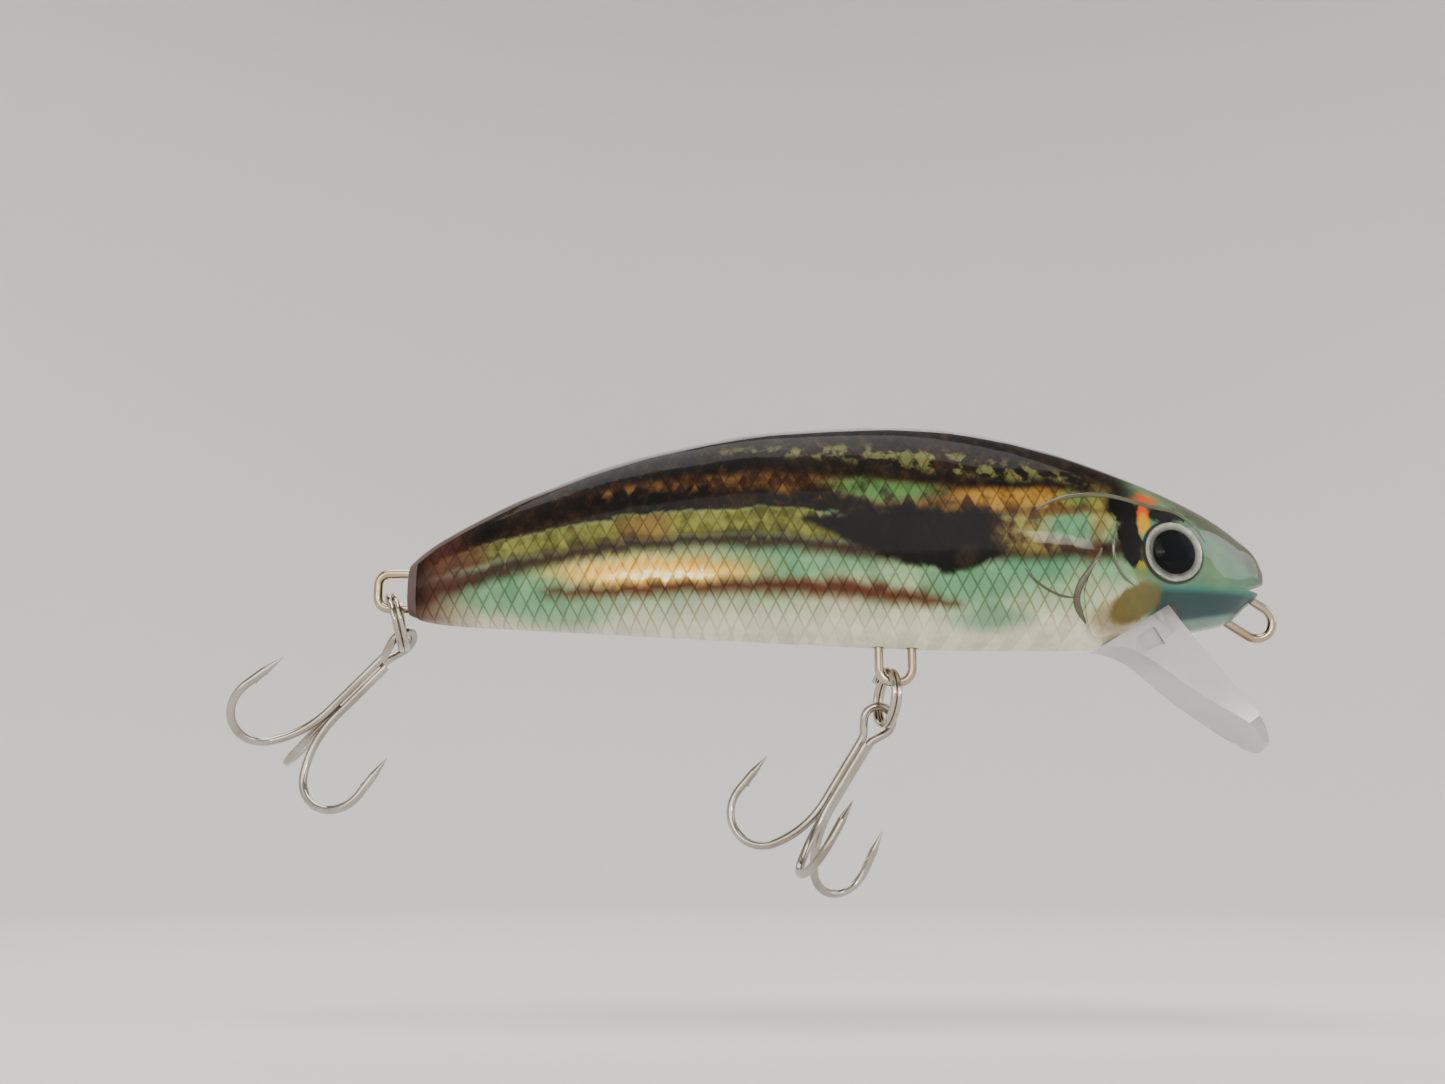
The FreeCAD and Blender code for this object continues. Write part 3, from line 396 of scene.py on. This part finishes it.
class SkinPainter:
    """Lays printed colours one over another on the side of the body."""

    def __init__(self, wires, place):
        self.wires = wires
        apart = wires.node("ShaderNodeSeparateXYZ")
        wires.give(apart.inputs["Vector"], place)
        self.along = wires.math("DIVIDE", apart.outputs["X"], MM)
        self.height = wires.math("DIVIDE", apart.outputs["Z"], MM)
        self.place = place
        rough = wires.noise(place, FINE_GRAIN)
        broad = wires.noise(place, BROAD_GRAIN, detail=4.0)
        self.fine_noise = rough.outputs["Fac"]
        self.broad_noise = broad.outputs["Fac"]
        self.scales = wires.use(SCALES, Along=self.along, Height=self.height,
                                Width=SCALE_WIDTH, Tall=SCALE_TALL, Line=SCALE_LINE)
        shift = wires.math("SUBTRACT", self.fine_noise, 0.5)
        scale_shift = wires.math("SUBTRACT", self.scales.outputs["Tone"], 0.5)
        self.ragged = wires.math(
            "ADD", self.height,
            wires.math("ADD", wires.math("MULTIPLY", shift, GRAIN_PUSH_UP),
                       wires.math("MULTIPLY", scale_shift, SCALE_PUSH_UP)))
        drift = wires.math("SUBTRACT", self.broad_noise, 0.5)
        self.ragged_along = wires.math(
            "ADD", self.along, wires.math("ADD", wires.math("MULTIPLY", shift, GRAIN_PUSH_ALONG),
                                          wires.math("MULTIPLY", drift, DRIFT_PUSH_ALONG)))
        self.colour = None

    def stripe(self, middle, half, soft=0.35):
        wires = self.wires
        return wires.use(STRIPE, Height=self.ragged,
                         Middle=wires.curve(self.along, middle, LOWEST_STRIPE, HIGHEST_STRIPE),
                         Half=wires.curve(self.along, half, 0.0, WIDEST_STRIPE),
                         Soft=soft).outputs["Mask"]

    def spot(self, along, height, wide, tall, lean=0.0, soft=0.2, crisp=False):
        here = (self.along, self.height) if crisp else (self.ragged_along, self.ragged)
        return self.wires.use(SPOT, Along=here[0], Height=here[1], Centre_along=along,
                              Centre_height=height, Radius_along=wide, Radius_height=tall,
                              Lean=lean, Soft=soft).outputs["Mask"]

    def both(self, first, second):
        return self.wires.math("MULTIPLY", first, second)

    def lay(self, colour, mask, strength=1.0):
        if strength != 1.0:
            mask = self.wires.math("MULTIPLY", mask, strength)
        self.colour = self.wires.mix(mask, self.colour, colour)

    def lay_patches(self, patches):
        for colour, along, height, wide, tall, lean, soft, strength in patches:
            self.lay(colour, self.spot(along, height, wide, tall, lean, soft), strength)

    def mottled(self, first, second, low=0.4, high=0.6):
        return self.wires.mix(self.wires.smooth(self.broad_noise, low, high), first, second)

    def scaled(self, first, second, low=0.35, high=0.75):
        """Two colours shared out scale by scale, with a soft grain between them."""
        wires = self.wires
        share = wires.math("MULTIPLY_ADD", self.scales.outputs["Tone"], 0.28,
                           wires.math("MULTIPLY", self.fine_noise, 0.75))
        return wires.mix(wires.smooth(share, low, high), first, second)

    def shade(self, mask, strength):
        """Darkens what lies below by a share, keeping its colour."""
        wires = self.wires
        made = wires.node("ShaderNodeMix", data_type="RGBA", blend_type="MULTIPLY")
        wires.give(made.inputs["Factor"], wires.math("MULTIPLY", mask, strength))
        wires.give(made.inputs["A"], self.colour)
        wires.give(made.inputs["B"], SCALE_EDGE)
        self.colour = made.outputs["Result"]


def paint_flanks(skin):
    wires = skin.wires
    skin.colour = BELLY_WHITE
    rising = wires.smooth(skin.ragged, -1.8, 2.4)
    skin.lay(skin.mottled(CREAM, PALE_GREEN, 0.30, 0.60), rising, 0.85)
    upper = wires.smooth(skin.ragged, 2.6, 4.6)
    skin.lay(skin.mottled(PALE_GREEN, SEA_GREEN, 0.42, 0.62), upper, 0.7)
    for along, height, wide, tall, strength in SEA_GREEN_PATCHES:
        skin.lay(SEA_GREEN, skin.spot(along, height, wide, tall, soft=0.5), strength)
    # the gilt between the dark line and the red line, with a painted reflection of light (a gold
    # glint and a pale gold highlight) laid over it
    gilt_and_glint = skin.spot(-64.0, 4.8, 10.5, 1.8, soft=0.55)
    skin.lay(GILT_GROUND, gilt_and_glint, 0.6)
    # painted glint: these gold and pale gold spots stand in for light reflected off the gilt
    skin.lay(GILT_AND_PAINTED_GLINT, skin.spot(-63.5, 4.4, 8.8, 1.15, soft=0.6), 0.8)
    skin.lay(PAINTED_GLINT_PALE_GOLD, skin.spot(-62.5, 4.1, 6.0, 0.65, soft=0.8), 0.75)
    return gilt_and_glint


def paint_bands(skin):
    wires = skin.wires
    top_edge = wires.curve(skin.along, DARK_TOP_EDGE, LOWEST_STRIPE, HIGHEST_STRIPE)
    above = wires.math("SUBTRACT", skin.ragged, top_edge)
    back = wires.smooth(above, -0.30, 0.35)
    skin.lay(skin.mottled(BACK_BROWN, DARK_BROWN, 0.35, 0.6), back)
    brown_haze = wires.smooth(skin.fine_noise, 0.45, 0.70)
    skin.lay(BROWN_HAZE, skin.both(back, brown_haze), 0.8)
    # the upper band of tan, green and gold scales
    band = skin.stripe(UPPER_BAND_MIDDLE, UPPER_BAND_HALF, 0.6)
    skin.lay(skin.scaled(UMBER, TAWNY, 0.30, 0.70), band, 0.9)
    greener = skin.both(band, skin.spot(-39.5, 13.2, 5.5, 1.6, soft=0.5))
    skin.lay(skin.scaled(MOSS, LEAF_GREEN, 0.3, 0.6), greener, 0.85)
    goldish = skin.both(band, skin.spot(-26.5, 12.2, 5.5, 1.6, soft=0.4))
    skin.lay(skin.scaled(BRONZE, OLD_GOLD, 0.3, 0.6), goldish, 0.9)
    leafy = skin.both(band, skin.spot(-18.5, 12.2, 3.0, 1.6, soft=0.4))
    skin.lay(YOUNG_LEAF, leafy, 0.8)
    # spots along the back
    holes = wires.noise(skin.place, DOT_GRAIN, detail=2.0, stretch=(0.8, 1.0, 0.9))
    dotted = wires.smooth(holes.outputs["Fac"], 0.46, 0.60)
    row = skin.stripe(SPOT_ROW_MIDDLE, SPOT_ROW_HALF, 0.7)
    skin.lay(SPOT_GREEN, skin.both(row, dotted), 0.9)
    # the green band, its dark edge line and the plum tail
    green = skin.stripe(GREEN_BAND_MIDDLE, GREEN_BAND_HALF, 0.35)
    skin.lay(skin.scaled(DEEP_OLIVE, PALE_OLIVE, 0.3, 0.65), green)
    skin.lay(FAWN, skin.both(green, skin.spot(-64.5, 9.2, 2.8, 2.4, soft=0.5)), 0.6)
    skin.lay(LINE_BROWN, skin.stripe(DARK_LINE_MIDDLE, DARK_LINE_HALF, 0.85), 0.96)
    skin.lay(DARK_BROWN, skin.stripe(BLOTCH_MIDDLE, BLOTCH_HALF, 0.45))
    skin.lay(BLOTCH_GLINT, skin.spot(-31.6, 5.6, 1.2, 1.3, soft=0.4), 0.6)
    skin.lay(REDDISH, skin.stripe(RED_LINE_MIDDLE, RED_LINE_HALF, 0.85), 0.9)
    tail = wires.smooth(skin.ragged_along, -80.5, -88.5)
    skin.lay(PLUM_BROWN, skin.both(tail, wires.smooth(skin.ragged, -2.6, 0.6)), 0.85)
    plum_band = skin.both(wires.smooth(skin.ragged_along, -79.5, -83.0), green)
    skin.lay(PLUM_BAND, plum_band, 0.8)
    tip = wires.smooth(skin.ragged_along, -86.0, -88.9)
    skin.lay(TAIL_TIP, skin.both(tip, wires.smooth(skin.ragged, 0.0, 2.2)), 0.85)


def paint_shoulder(skin):
    """The mottled brown and gold behind the gill, running down into the green."""
    reach = skin.spot(-23.8, 8.8, 4.6, 2.7, lean=0.2, soft=0.35)
    skin.lay(skin.scaled(CHESTNUT, STRAW, 0.35, 0.6), reach, 0.9)
    skin.lay_patches(SHOULDER_PATCHES)


def paint_head(skin):
    wires = skin.wires
    head = wires.smooth(skin.along, -15.5, -11.5)
    skin.lay(skin.mottled(SAGE, PALE_SAGE, 0.38, 0.62), head)
    crown = wires.smooth(wires.math("MULTIPLY_ADD", skin.along, 0.80, skin.ragged), 3.2, 5.2)
    skin.lay(CROWN_OLIVE, skin.both(crown, wires.smooth(skin.along, -21.0, -14.0)), 0.85)
    # deep jaw with a paler lower edge
    jaw = wires.smooth(skin.height, 3.5, 2.4)
    jaw = skin.both(jaw, wires.smooth(skin.along, -13.0, -11.8))
    skin.lay(TEAL, jaw, 0.9)
    deep = skin.both(jaw, wires.smooth(skin.height, 2.9, 2.0))
    skin.lay(DEEP_TEAL, deep, 0.92)
    pale_edge = wires.smooth(
        wires.math("SUBTRACT", skin.height, wires.math("MULTIPLY", skin.along, 0.16)), 1.3, 0.7)
    skin.lay(CHIN_GREEN, skin.both(pale_edge, wires.smooth(skin.along, -11.0, -9.5)), 0.8)
    # the black patch behind the eye, with orange and yellow in it
    skin.lay_patches(BEHIND_EYE_PATCHES)
    # the olive throat patch over the tan behind it
    skin.lay_patches(THROAT_PATCHES)
    # dark line round the eye
    reach = EYE_RADIUS + EYE_LINE_WIDTH
    eye_ring = skin.spot(EYE_X, EYE_Z, reach, reach, soft=0.04, crisp=True)
    skin.lay(EYE_LINE, eye_ring, 0.9)


def paint_scale_lines(skin):
    """Scale edges: darker lines on the flank that fade out at the belly and the head."""
    wires = skin.wires
    on_body = wires.smooth(skin.along, -14.5, -17.5)
    low_fade = wires.smooth(skin.height, -3.0, 1.2)
    patchy = wires.smooth(skin.broad_noise, 0.25, 0.55)
    lines = wires.math("MULTIPLY", skin.scales.outputs["Lines"], on_body)
    lines = wires.math("MULTIPLY", lines, low_fade)
    lines = wires.math("MULTIPLY", lines, wires.math("MULTIPLY_ADD", patchy, 0.35, 0.65))
    skin.shade(lines, 0.55)
    flicker = wires.math("MULTIPLY", wires.math("SUBTRACT", skin.scales.outputs["Tone"], 0.5), 0.22)
    tone = wires.node("ShaderNodeHueSaturation")
    wires.give(tone.inputs["Color"], skin.colour)
    wires.give(tone.inputs["Value"], wires.math("ADD", flicker, 1.0))
    skin.colour = tone.outputs["Color"]
    return lines


def paint_bead_highlights(skin):
    """A row of slanted painted highlights: bright beads of light reflected where the gilt scales
    catch it.
    """
    wires = skin.wires
    leaned = wires.math("SUBTRACT", skin.along, wires.math("MULTIPLY", skin.height, 0.45))
    beat = wires.math("FRACT", wires.math("DIVIDE", leaned, 1.15))
    highlight_beat = wires.smooth(wires.math("ABSOLUTE", wires.math("SUBTRACT", beat, 0.5)), 0.40, 0.22)
    row = skin.spot(-62.8, 4.05, 5.0, 0.42, soft=0.35)
    skin.lay(PAINTED_HIGHLIGHT_WHITE, skin.both(row, highlight_beat), 0.95)
    wide_highlight_row = skin.spot(-66.5, 4.7, 6.5, 1.4, soft=0.5)
    skin.lay(PAINTED_HIGHLIGHT_GOLD, skin.both(wide_highlight_row, highlight_beat), 0.4)


def skin_print_and_painted_highlight_material():
    material, wires, shader, place = new_material("printed_skin", (0.36, 0.33, 0.18))
    skin = SkinPainter(wires, place)
    gilt_and_glint = paint_flanks(skin)
    paint_bands(skin)
    paint_shoulder(skin)
    lines = paint_scale_lines(skin)
    paint_bead_highlights(skin)
    paint_head(skin)
    grain = wires.math("MULTIPLY_ADD", skin.fine_noise, 0.34, 1.02)
    tone = wires.node("ShaderNodeHueSaturation")
    wires.give(tone.inputs["Color"], skin.colour)
    wires.give(tone.inputs["Value"], grain)
    ink = wires.node("ShaderNodeGamma")
    wires.give(ink.inputs["Color"], tone.outputs["Color"])
    ink.inputs["Gamma"].default_value = INK_DEPTH
    wires.give(shader.inputs["Base Color"], ink.outputs["Color"])
    worn = wires.use(WEAR, Place=place, Base_roughness=0.42, Spread=0.15, Speck_scale=1400.0)
    wires.give(shader.inputs["Roughness"], worn.outputs["Roughness"])
    wires.give(shader.inputs["Metallic"], wires.math("MULTIPLY", gilt_and_glint, 0.35))
    shader.inputs["Specular IOR Level"].default_value = 0.08
    glossy_head = wires.smooth(skin.along, -17.0, -9.0)
    wires.give(shader.inputs["Coat Weight"], wires.math("MULTIPLY_ADD", glossy_head, 0.80, 0.13))
    shader.inputs["Coat Roughness"].default_value = 0.05
    bump = wires.node("ShaderNodeBump")
    bump.inputs["Strength"].default_value = 0.25
    bump.inputs["Distance"].default_value = 0.05 * MM
    wires.give(bump.inputs["Height"], wires.math("SUBTRACT", 1.0, lines))
    wires.give(shader.inputs["Normal"], bump.outputs["Normal"])
    return material


# ------------------------------------------------------------ plain finishes
def clear_plastic_material(name, tint, deep_tint, base_roughness, transmission, gloss=0.5,
                           bending=PLASTIC_BENDING):
    material, wires, shader, place = new_material(name, tint)
    worn = wires.use(WEAR, Place=place, Base_roughness=base_roughness, Spread=0.07,
                     Speck_scale=1100.0)
    wires.give(shader.inputs["Base Color"], wires.mix(worn.outputs["Patches"], tint, deep_tint))
    wires.give(shader.inputs["Roughness"], worn.outputs["Roughness"])
    shader.inputs["Transmission Weight"].default_value = transmission
    shader.inputs["Specular IOR Level"].default_value = gloss
    shader.inputs["IOR"].default_value = bending
    return material


def metal_material(name, tint, warm_tint, base_roughness, spread, drawn=0.0):
    """Bright metal with warm and cool patches and, if drawn, fine lengthwise marks."""
    material, wires, shader, place = new_material(name, tint)
    worn = wires.use(WEAR, Place=place, Base_roughness=base_roughness, Spread=spread,
                     Speck_scale=1500.0)
    tone = wires.mix(worn.outputs["Patches"], tint, warm_tint)
    dirt = wires.math("MULTIPLY", worn.outputs["Specks"], 0.5)
    wires.give(shader.inputs["Base Color"], wires.mix(dirt, tone, METAL_DIRT))
    wires.give(shader.inputs["Roughness"], worn.outputs["Roughness"])
    shader.inputs["Metallic"].default_value = 1.0
    marks = wires.noise(place, 2600.0, detail=2.0, stretch=(1.0, 1.0, 0.35))
    bump = wires.node("ShaderNodeBump")
    bump.inputs["Strength"].default_value = 0.08 + drawn
    bump.inputs["Distance"].default_value = 0.02 * MM
    wires.give(bump.inputs["Height"], marks.outputs["Fac"])
    wires.give(shader.inputs["Normal"], bump.outputs["Normal"])
    return material


def eye_foil_material():
    """Silver foil, paler at its rim and darker against the pupil."""
    material, wires, shader, place = new_material("eye_foil", (0.6, 0.6, 0.55))
    apart = wires.node("ShaderNodeSeparateXYZ")
    wires.give(apart.inputs["Vector"], place)
    along = wires.math("SUBTRACT", wires.math("DIVIDE", apart.outputs["X"], MM), EYE_X)
    up = wires.math("SUBTRACT", wires.math("DIVIDE", apart.outputs["Z"], MM), EYE_Z)
    out = wires.math("SQRT", wires.math("ADD", wires.math("MULTIPLY", along, along),
                                        wires.math("MULTIPLY", up, up)))
    rim = wires.smooth(out, 2.35, 3.0)
    speckle = wires.noise(place, 1800.0, detail=3.0)
    tone = wires.mix(rim, FOIL_DARK, FOIL_PALE)
    foil = wires.math("MULTIPLY_ADD", speckle.outputs["Fac"], 0.5, 0.72)
    shade = wires.node("ShaderNodeHueSaturation")
    wires.give(shade.inputs["Color"], tone)
    wires.give(shade.inputs["Value"], foil)
    wires.give(shader.inputs["Base Color"], shade.outputs["Color"])
    wires.give(shader.inputs["Roughness"], wires.math("MULTIPLY_ADD", speckle.outputs["Fac"],
                                                      0.25, 0.22))
    shader.inputs["Metallic"].default_value = 0.85
    return material


def eye_pupil_material():
    material, wires, shader, place = new_material("eye_pupil", (0.004, 0.005, 0.006))
    worn = wires.use(WEAR, Place=place, Base_roughness=0.06, Spread=0.05, Speck_scale=1500.0)
    wires.give(shader.inputs["Base Color"],
               wires.mix(worn.outputs["Patches"], PUPIL_BLACK, PUPIL_DUSTY))
    wires.give(shader.inputs["Roughness"], worn.outputs["Roughness"])
    shader.inputs["Specular IOR Level"].default_value = 0.1
    return material


def ridge_material():
    """Clear raised lines moulded over the print, milky against the colours below."""
    material, wires, shader, place = new_material("ridge_gloss", (0.45, 0.48, 0.36))
    worn = wires.use(WEAR, Place=place, Base_roughness=0.08, Spread=0.08, Speck_scale=1500.0)
    wires.give(shader.inputs["Base Color"],
               wires.mix(worn.outputs["Patches"], RIDGE_TINT, RIDGE_DEEP_TINT))
    wires.give(shader.inputs["Roughness"], worn.outputs["Roughness"])
    shader.inputs["Transmission Weight"].default_value = 0.35
    shader.inputs["IOR"].default_value = PLASTIC_BENDING
    return material


def stage_material(name, tint, roughness):
    material, wires, shader, place = new_material(name, tint)
    cloudy = wires.noise(place, 4.0, detail=3.0)
    shade = tuple(part * PAPER_CLOUD for part in tint)
    wires.give(shader.inputs["Base Color"], wires.mix(cloudy.outputs["Fac"], tint, shade))
    shader.inputs["Roughness"].default_value = roughness
    return material


FINISHES = {
    "clear_body": clear_plastic_material("clear_body", (0.115, 0.083, 0.075), (0.085, 0.060, 0.053),
                                         0.30, 0.20, gloss=0.15),
    "clear_lip": clear_plastic_material("clear_lip", (0.70, 0.67, 0.67), (0.58, 0.55, 0.55),
                                        0.06, 0.60),
    "printed_skin": skin_print_and_painted_highlight_material(),
    "eye_foil": eye_foil_material(),
    "eye_pupil": eye_pupil_material(),
    "eye_lens": clear_plastic_material("eye_lens", (0.98, 0.98, 0.97), (0.94, 0.95, 0.95),
                                       0.01, 1.0, bending=LENS_BENDING),
    "hanger_wire": metal_material("hanger_wire", (0.48, 0.41, 0.33), (0.37, 0.26, 0.15),
                                  0.09, 0.10, drawn=0.06),
    "ring_wire": metal_material("ring_wire", (0.50, 0.47, 0.42), (0.36, 0.29, 0.20), 0.07, 0.08),
    "hook_wire": metal_material("hook_wire", (0.46, 0.44, 0.41), (0.30, 0.26, 0.21),
                                0.09, 0.12, drawn=0.04),
    "braze_metal": metal_material("braze_metal", (0.66, 0.62, 0.54), (0.55, 0.47, 0.36),
                                  0.28, 0.15),
    "ballast_metal": metal_material("ballast_metal", (0.72, 0.55, 0.28), (0.60, 0.42, 0.20),
                                    0.25, 0.12),
    "ball_steel": metal_material("ball_steel", (0.62, 0.62, 0.63), (0.56, 0.55, 0.54), 0.10, 0.06),
}


def finish_cad_nodes():
    for row in frame["record"]["subparts"]:
        piece = frame["nodes"][row["node"]]
        piece.data.materials.clear()
        piece.data.materials.append(FINISHES[row["material_slot"]])
        for face in piece.data.polygons:
            face.material_index = 0


# ------------------------------------------------------------ raised lines
RIDGE_SIDES = 8
RIDGE_STEP = 0.35
RIDGE_END = 0.25
RIDGE_TAPER = 4.0
RAY_START = 30.0
BROW_LINE = [(-24.2, 10.6), (-22.4, 11.6), (-19.8, 12.3), (-16.5, 12.4), (-13.5, 11.8),
             (-11.5, 11.3), (-9.2, 10.9), (-7.2, 9.4), (-6.2, 7.6)]
GILL_LINE = [(-17.6, 6.6), (-18.0, 5.6), (-18.9, 4.3), (-19.9, 2.9), (-20.3, 1.5),
             (-20.0, 0.3), (-19.2, -0.9)]
GILL_CREASE = [(-25.6, 4.5), (-24.6, 3.3), (-23.2, 2.3), (-21.8, 1.7), (-20.3, 1.5)]
CHEEK_LINE = [(-15.9, 8.8), (-16.4, 7.2), (-16.4, 5.6), (-15.7, 3.9), (-14.4, 2.7)]
# Each raised line: kind, line, half width and rise above the skin.
RIDGES = [("brow_ridge", BROW_LINE, 0.28, 0.16), ("gill_ridge", GILL_LINE, 0.36, 0.26),
          ("gill_crease", GILL_CREASE, 0.14, 0.08), ("cheek_ridge", CHEEK_LINE, 0.18, 0.10)]


def skin_surface(node):
    mesh = frame["nodes"][node].data
    corners = [vertex.co.copy() for vertex in mesh.vertices]
    return BVHTree.FromPolygons(corners, [tuple(face.vertices) for face in mesh.polygons])


def smooth_points(points):
    """Even steps along a smooth line through the points."""
    filled = []
    count = len(points)
    for index in range(count - 1):
        before = points[max(index - 1, 0)]
        start = points[index]
        end = points[index + 1]
        after = points[min(index + 2, count - 1)]
        steps = max(int(math.dist(start, end) / RIDGE_STEP), 1)
        for step in range(steps):
            t = step / steps
            filled.append(tuple(
                0.5 * (2 * s + (e - b) * t + (2 * b - 5 * s + 4 * e - a) * t * t
                       + (3 * s - b - 3 * e + a) * t * t * t)
                for b, s, e, a in zip(before, start, end, after)))
    filled.append(points[-1])
    return filled


def ridge(name, line, width, rise, side, surface, material):
    """A raised bead laid on the skin: a small oval ring pushed along the line, step by step."""
    placed = []
    for along, height in smooth_points(line):
        start = Vector((along * MM, side * RAY_START * MM, height * MM))
        spot, normal = surface.ray_cast(start, Vector((0, -side, 0)))[:2]
        if spot is not None:
            placed.append((spot, normal))
    last = len(placed) - 1
    frames = []
    for index, (spot, normal) in enumerate(placed):
        ahead = placed[min(index + 1, last)][0] - placed[max(index - 1, 0)][0]
        across = normal.cross(ahead).normalized()
        taper = min(1.0, RIDGE_END + RIDGE_TAPER * min(index, last - index) / last)
        oval = Matrix((across * (width * taper * MM), normal * (rise * taper * MM),
                       ahead.normalized() * MM)).transposed()
        frames.append(Matrix.Translation(spot) @ oval.to_4x4())
    shape = bmesh.new()
    bmesh.ops.create_circle(shape, cap_ends=True, segments=RIDGE_SIDES, radius=1.0,
                            matrix=frames[0])
    end = shape.faces[:][0]
    for before, after in zip(frames, frames[1:]):
        pushed = bmesh.ops.extrude_discrete_faces(shape, faces=[end])
        end = pushed["faces"][0]
        bmesh.ops.transform(shape, matrix=after @ before.inverted(), verts=end.verts)
    bmesh.ops.create_circle(shape, cap_ends=True, segments=RIDGE_SIDES, radius=1.0,
                            matrix=frames[0])
    bmesh.ops.remove_doubles(shape, verts=shape.verts, dist=RIDGE_MERGE_DISTANCE)
    bmesh.ops.recalc_face_normals(shape, faces=shape.faces)
    for face in shape.faces:
        face.smooth = True
    mesh = bpy.data.meshes.new(name)
    shape.to_mesh(mesh)
    shape.free()
    mesh.materials.append(material)
    piece = bpy.data.objects.new(name, mesh)
    bpy.context.scene.collection.objects.link(piece)
    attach(piece, "lure_body")


def add_ridges():
    material = ridge_material()
    for label, side, node in (("right", -1, "right_skin_film"), ("left", 1, "left_skin_film")):
        surface = skin_surface(node)
        for kind, line, width, rise in RIDGES:
            ridge(label + "_" + kind, line, width, rise, side, surface, material)


# ------------------------------------------------------------ stage
def add_backdrop():
    """A round pale floor that curves up into a wall on every side."""
    low = cad_box[0].z - FLOOR_DROP * MM
    centre = (cad_box[0] + cad_box[1]) / 2
    profile = [(0.0, 0.0), (BACKDROP_RADIUS - BACKDROP_BEND, 0.0)]
    for step in range(1, BACKDROP_BEND_STEPS + 1):
        angle = math.pi / 2 * step / BACKDROP_BEND_STEPS
        profile.append((BACKDROP_RADIUS - BACKDROP_BEND + BACKDROP_BEND * math.sin(angle),
                        BACKDROP_BEND * (1 - math.cos(angle))))
    profile.append((BACKDROP_RADIUS, BACKDROP_HEIGHT))
    shape = bmesh.new()
    corners = [shape.verts.new((centre.x + out * MM, centre.y, low + up * MM))
               for out, up in profile]
    edges = [shape.edges.new(pair) for pair in zip(corners, corners[1:])]
    bmesh.ops.spin(shape, geom=corners + edges, cent=(centre.x, centre.y, low),
                   axis=(0, 0, 1), angle=2 * math.pi, steps=BACKDROP_TURN_STEPS,
                   use_merge=True)
    bmesh.ops.remove_doubles(shape, verts=shape.verts, dist=MERGE_DISTANCE)
    for face in shape.faces:
        face.smooth = True
    mesh = bpy.data.meshes.new("backdrop")
    shape.to_mesh(mesh)
    shape.free()
    mesh.materials.append(stage_material("backdrop_paper", PAPER, PAPER_ROUGHNESS))
    backdrop = bpy.data.objects.new("backdrop", mesh)
    bpy.context.scene.collection.objects.link(backdrop)


# Each soft light: name, place, size and power, in metres and watts, and tint.
LIGHTS = [("key_softbox", (-0.08, -0.06, 0.56), (0.60, 0.34), 3.6, (1.0, 0.97, 0.93)),
          ("head_lamp", (0.08, -0.34, 0.10), (0.07, 0.03), 0.22, (1.0, 0.95, 0.90)),
          ("front_fill", (-0.16, -0.48, 0.16), (0.60, 0.30), 1.50, (1.0, 0.95, 0.88)),
          ("side_fill", (0.42, -0.10, 0.20), (0.30, 0.30), 0.7, (0.93, 0.97, 1.0)),
          ("back_softbox", (-0.05, 0.36, 0.40), (0.40, 0.24), 0.9, (0.97, 0.98, 1.0))]
ROOM_TINT = (0.80, 0.82, 0.85, 1.0)
ROOM_STRENGTH = 0.12


def add_light(name, place, size, power, tint):
    """A soft rectangle of light aimed at the middle of the lure."""
    lamp = bpy.data.lights.new(name, "AREA")
    lamp.shape = "RECTANGLE"
    lamp.size = size[0]
    lamp.size_y = size[1]
    lamp.energy = power
    lamp.color = tint
    light = bpy.data.objects.new(name, lamp)
    light.location = place
    aim = (cad_box[0] + cad_box[1]) / 2 - Vector(place)
    light.rotation_euler = aim.to_track_quat("-Z", "Y").to_euler()
    bpy.context.scene.collection.objects.link(light)


def add_lights():
    for name, place, size, power, tint in LIGHTS:
        add_light(name, place, size, power, tint)
    world = bpy.data.worlds.new("studio")
    world.use_nodes = True
    bpy.context.scene.world = world
    shade = world.node_tree.nodes["Background"]
    shade.inputs["Color"].default_value = ROOM_TINT
    shade.inputs["Strength"].default_value = ROOM_STRENGTH


# The camera stands low in front of the right side and looks up a little.
CAMERA_PLACE = (-56.4, -157.1, -24.7)
CAMERA_RISE = 12.0
CAMERA_LENS = 37.37
CAMERA_SENSOR = 36.0
CAMERA_NEAR = 0.005
CAMERA_FAR = 10.0


def add_camera():
    camera = bpy.data.cameras.new("camera")
    camera.lens = CAMERA_LENS
    camera.sensor_width = CAMERA_SENSOR
    camera.clip_start = CAMERA_NEAR
    camera.clip_end = CAMERA_FAR
    seat = bpy.data.objects.new("camera", camera)
    seat.location = [part * MM for part in CAMERA_PLACE]
    seat.rotation_euler = (math.radians(90.0 + CAMERA_RISE), 0.0, 0.0)
    bpy.context.scene.collection.objects.link(seat)
    bpy.context.scene.camera = seat


finish_cad_nodes()
add_ridges()
add_backdrop()
add_lights()
add_camera()
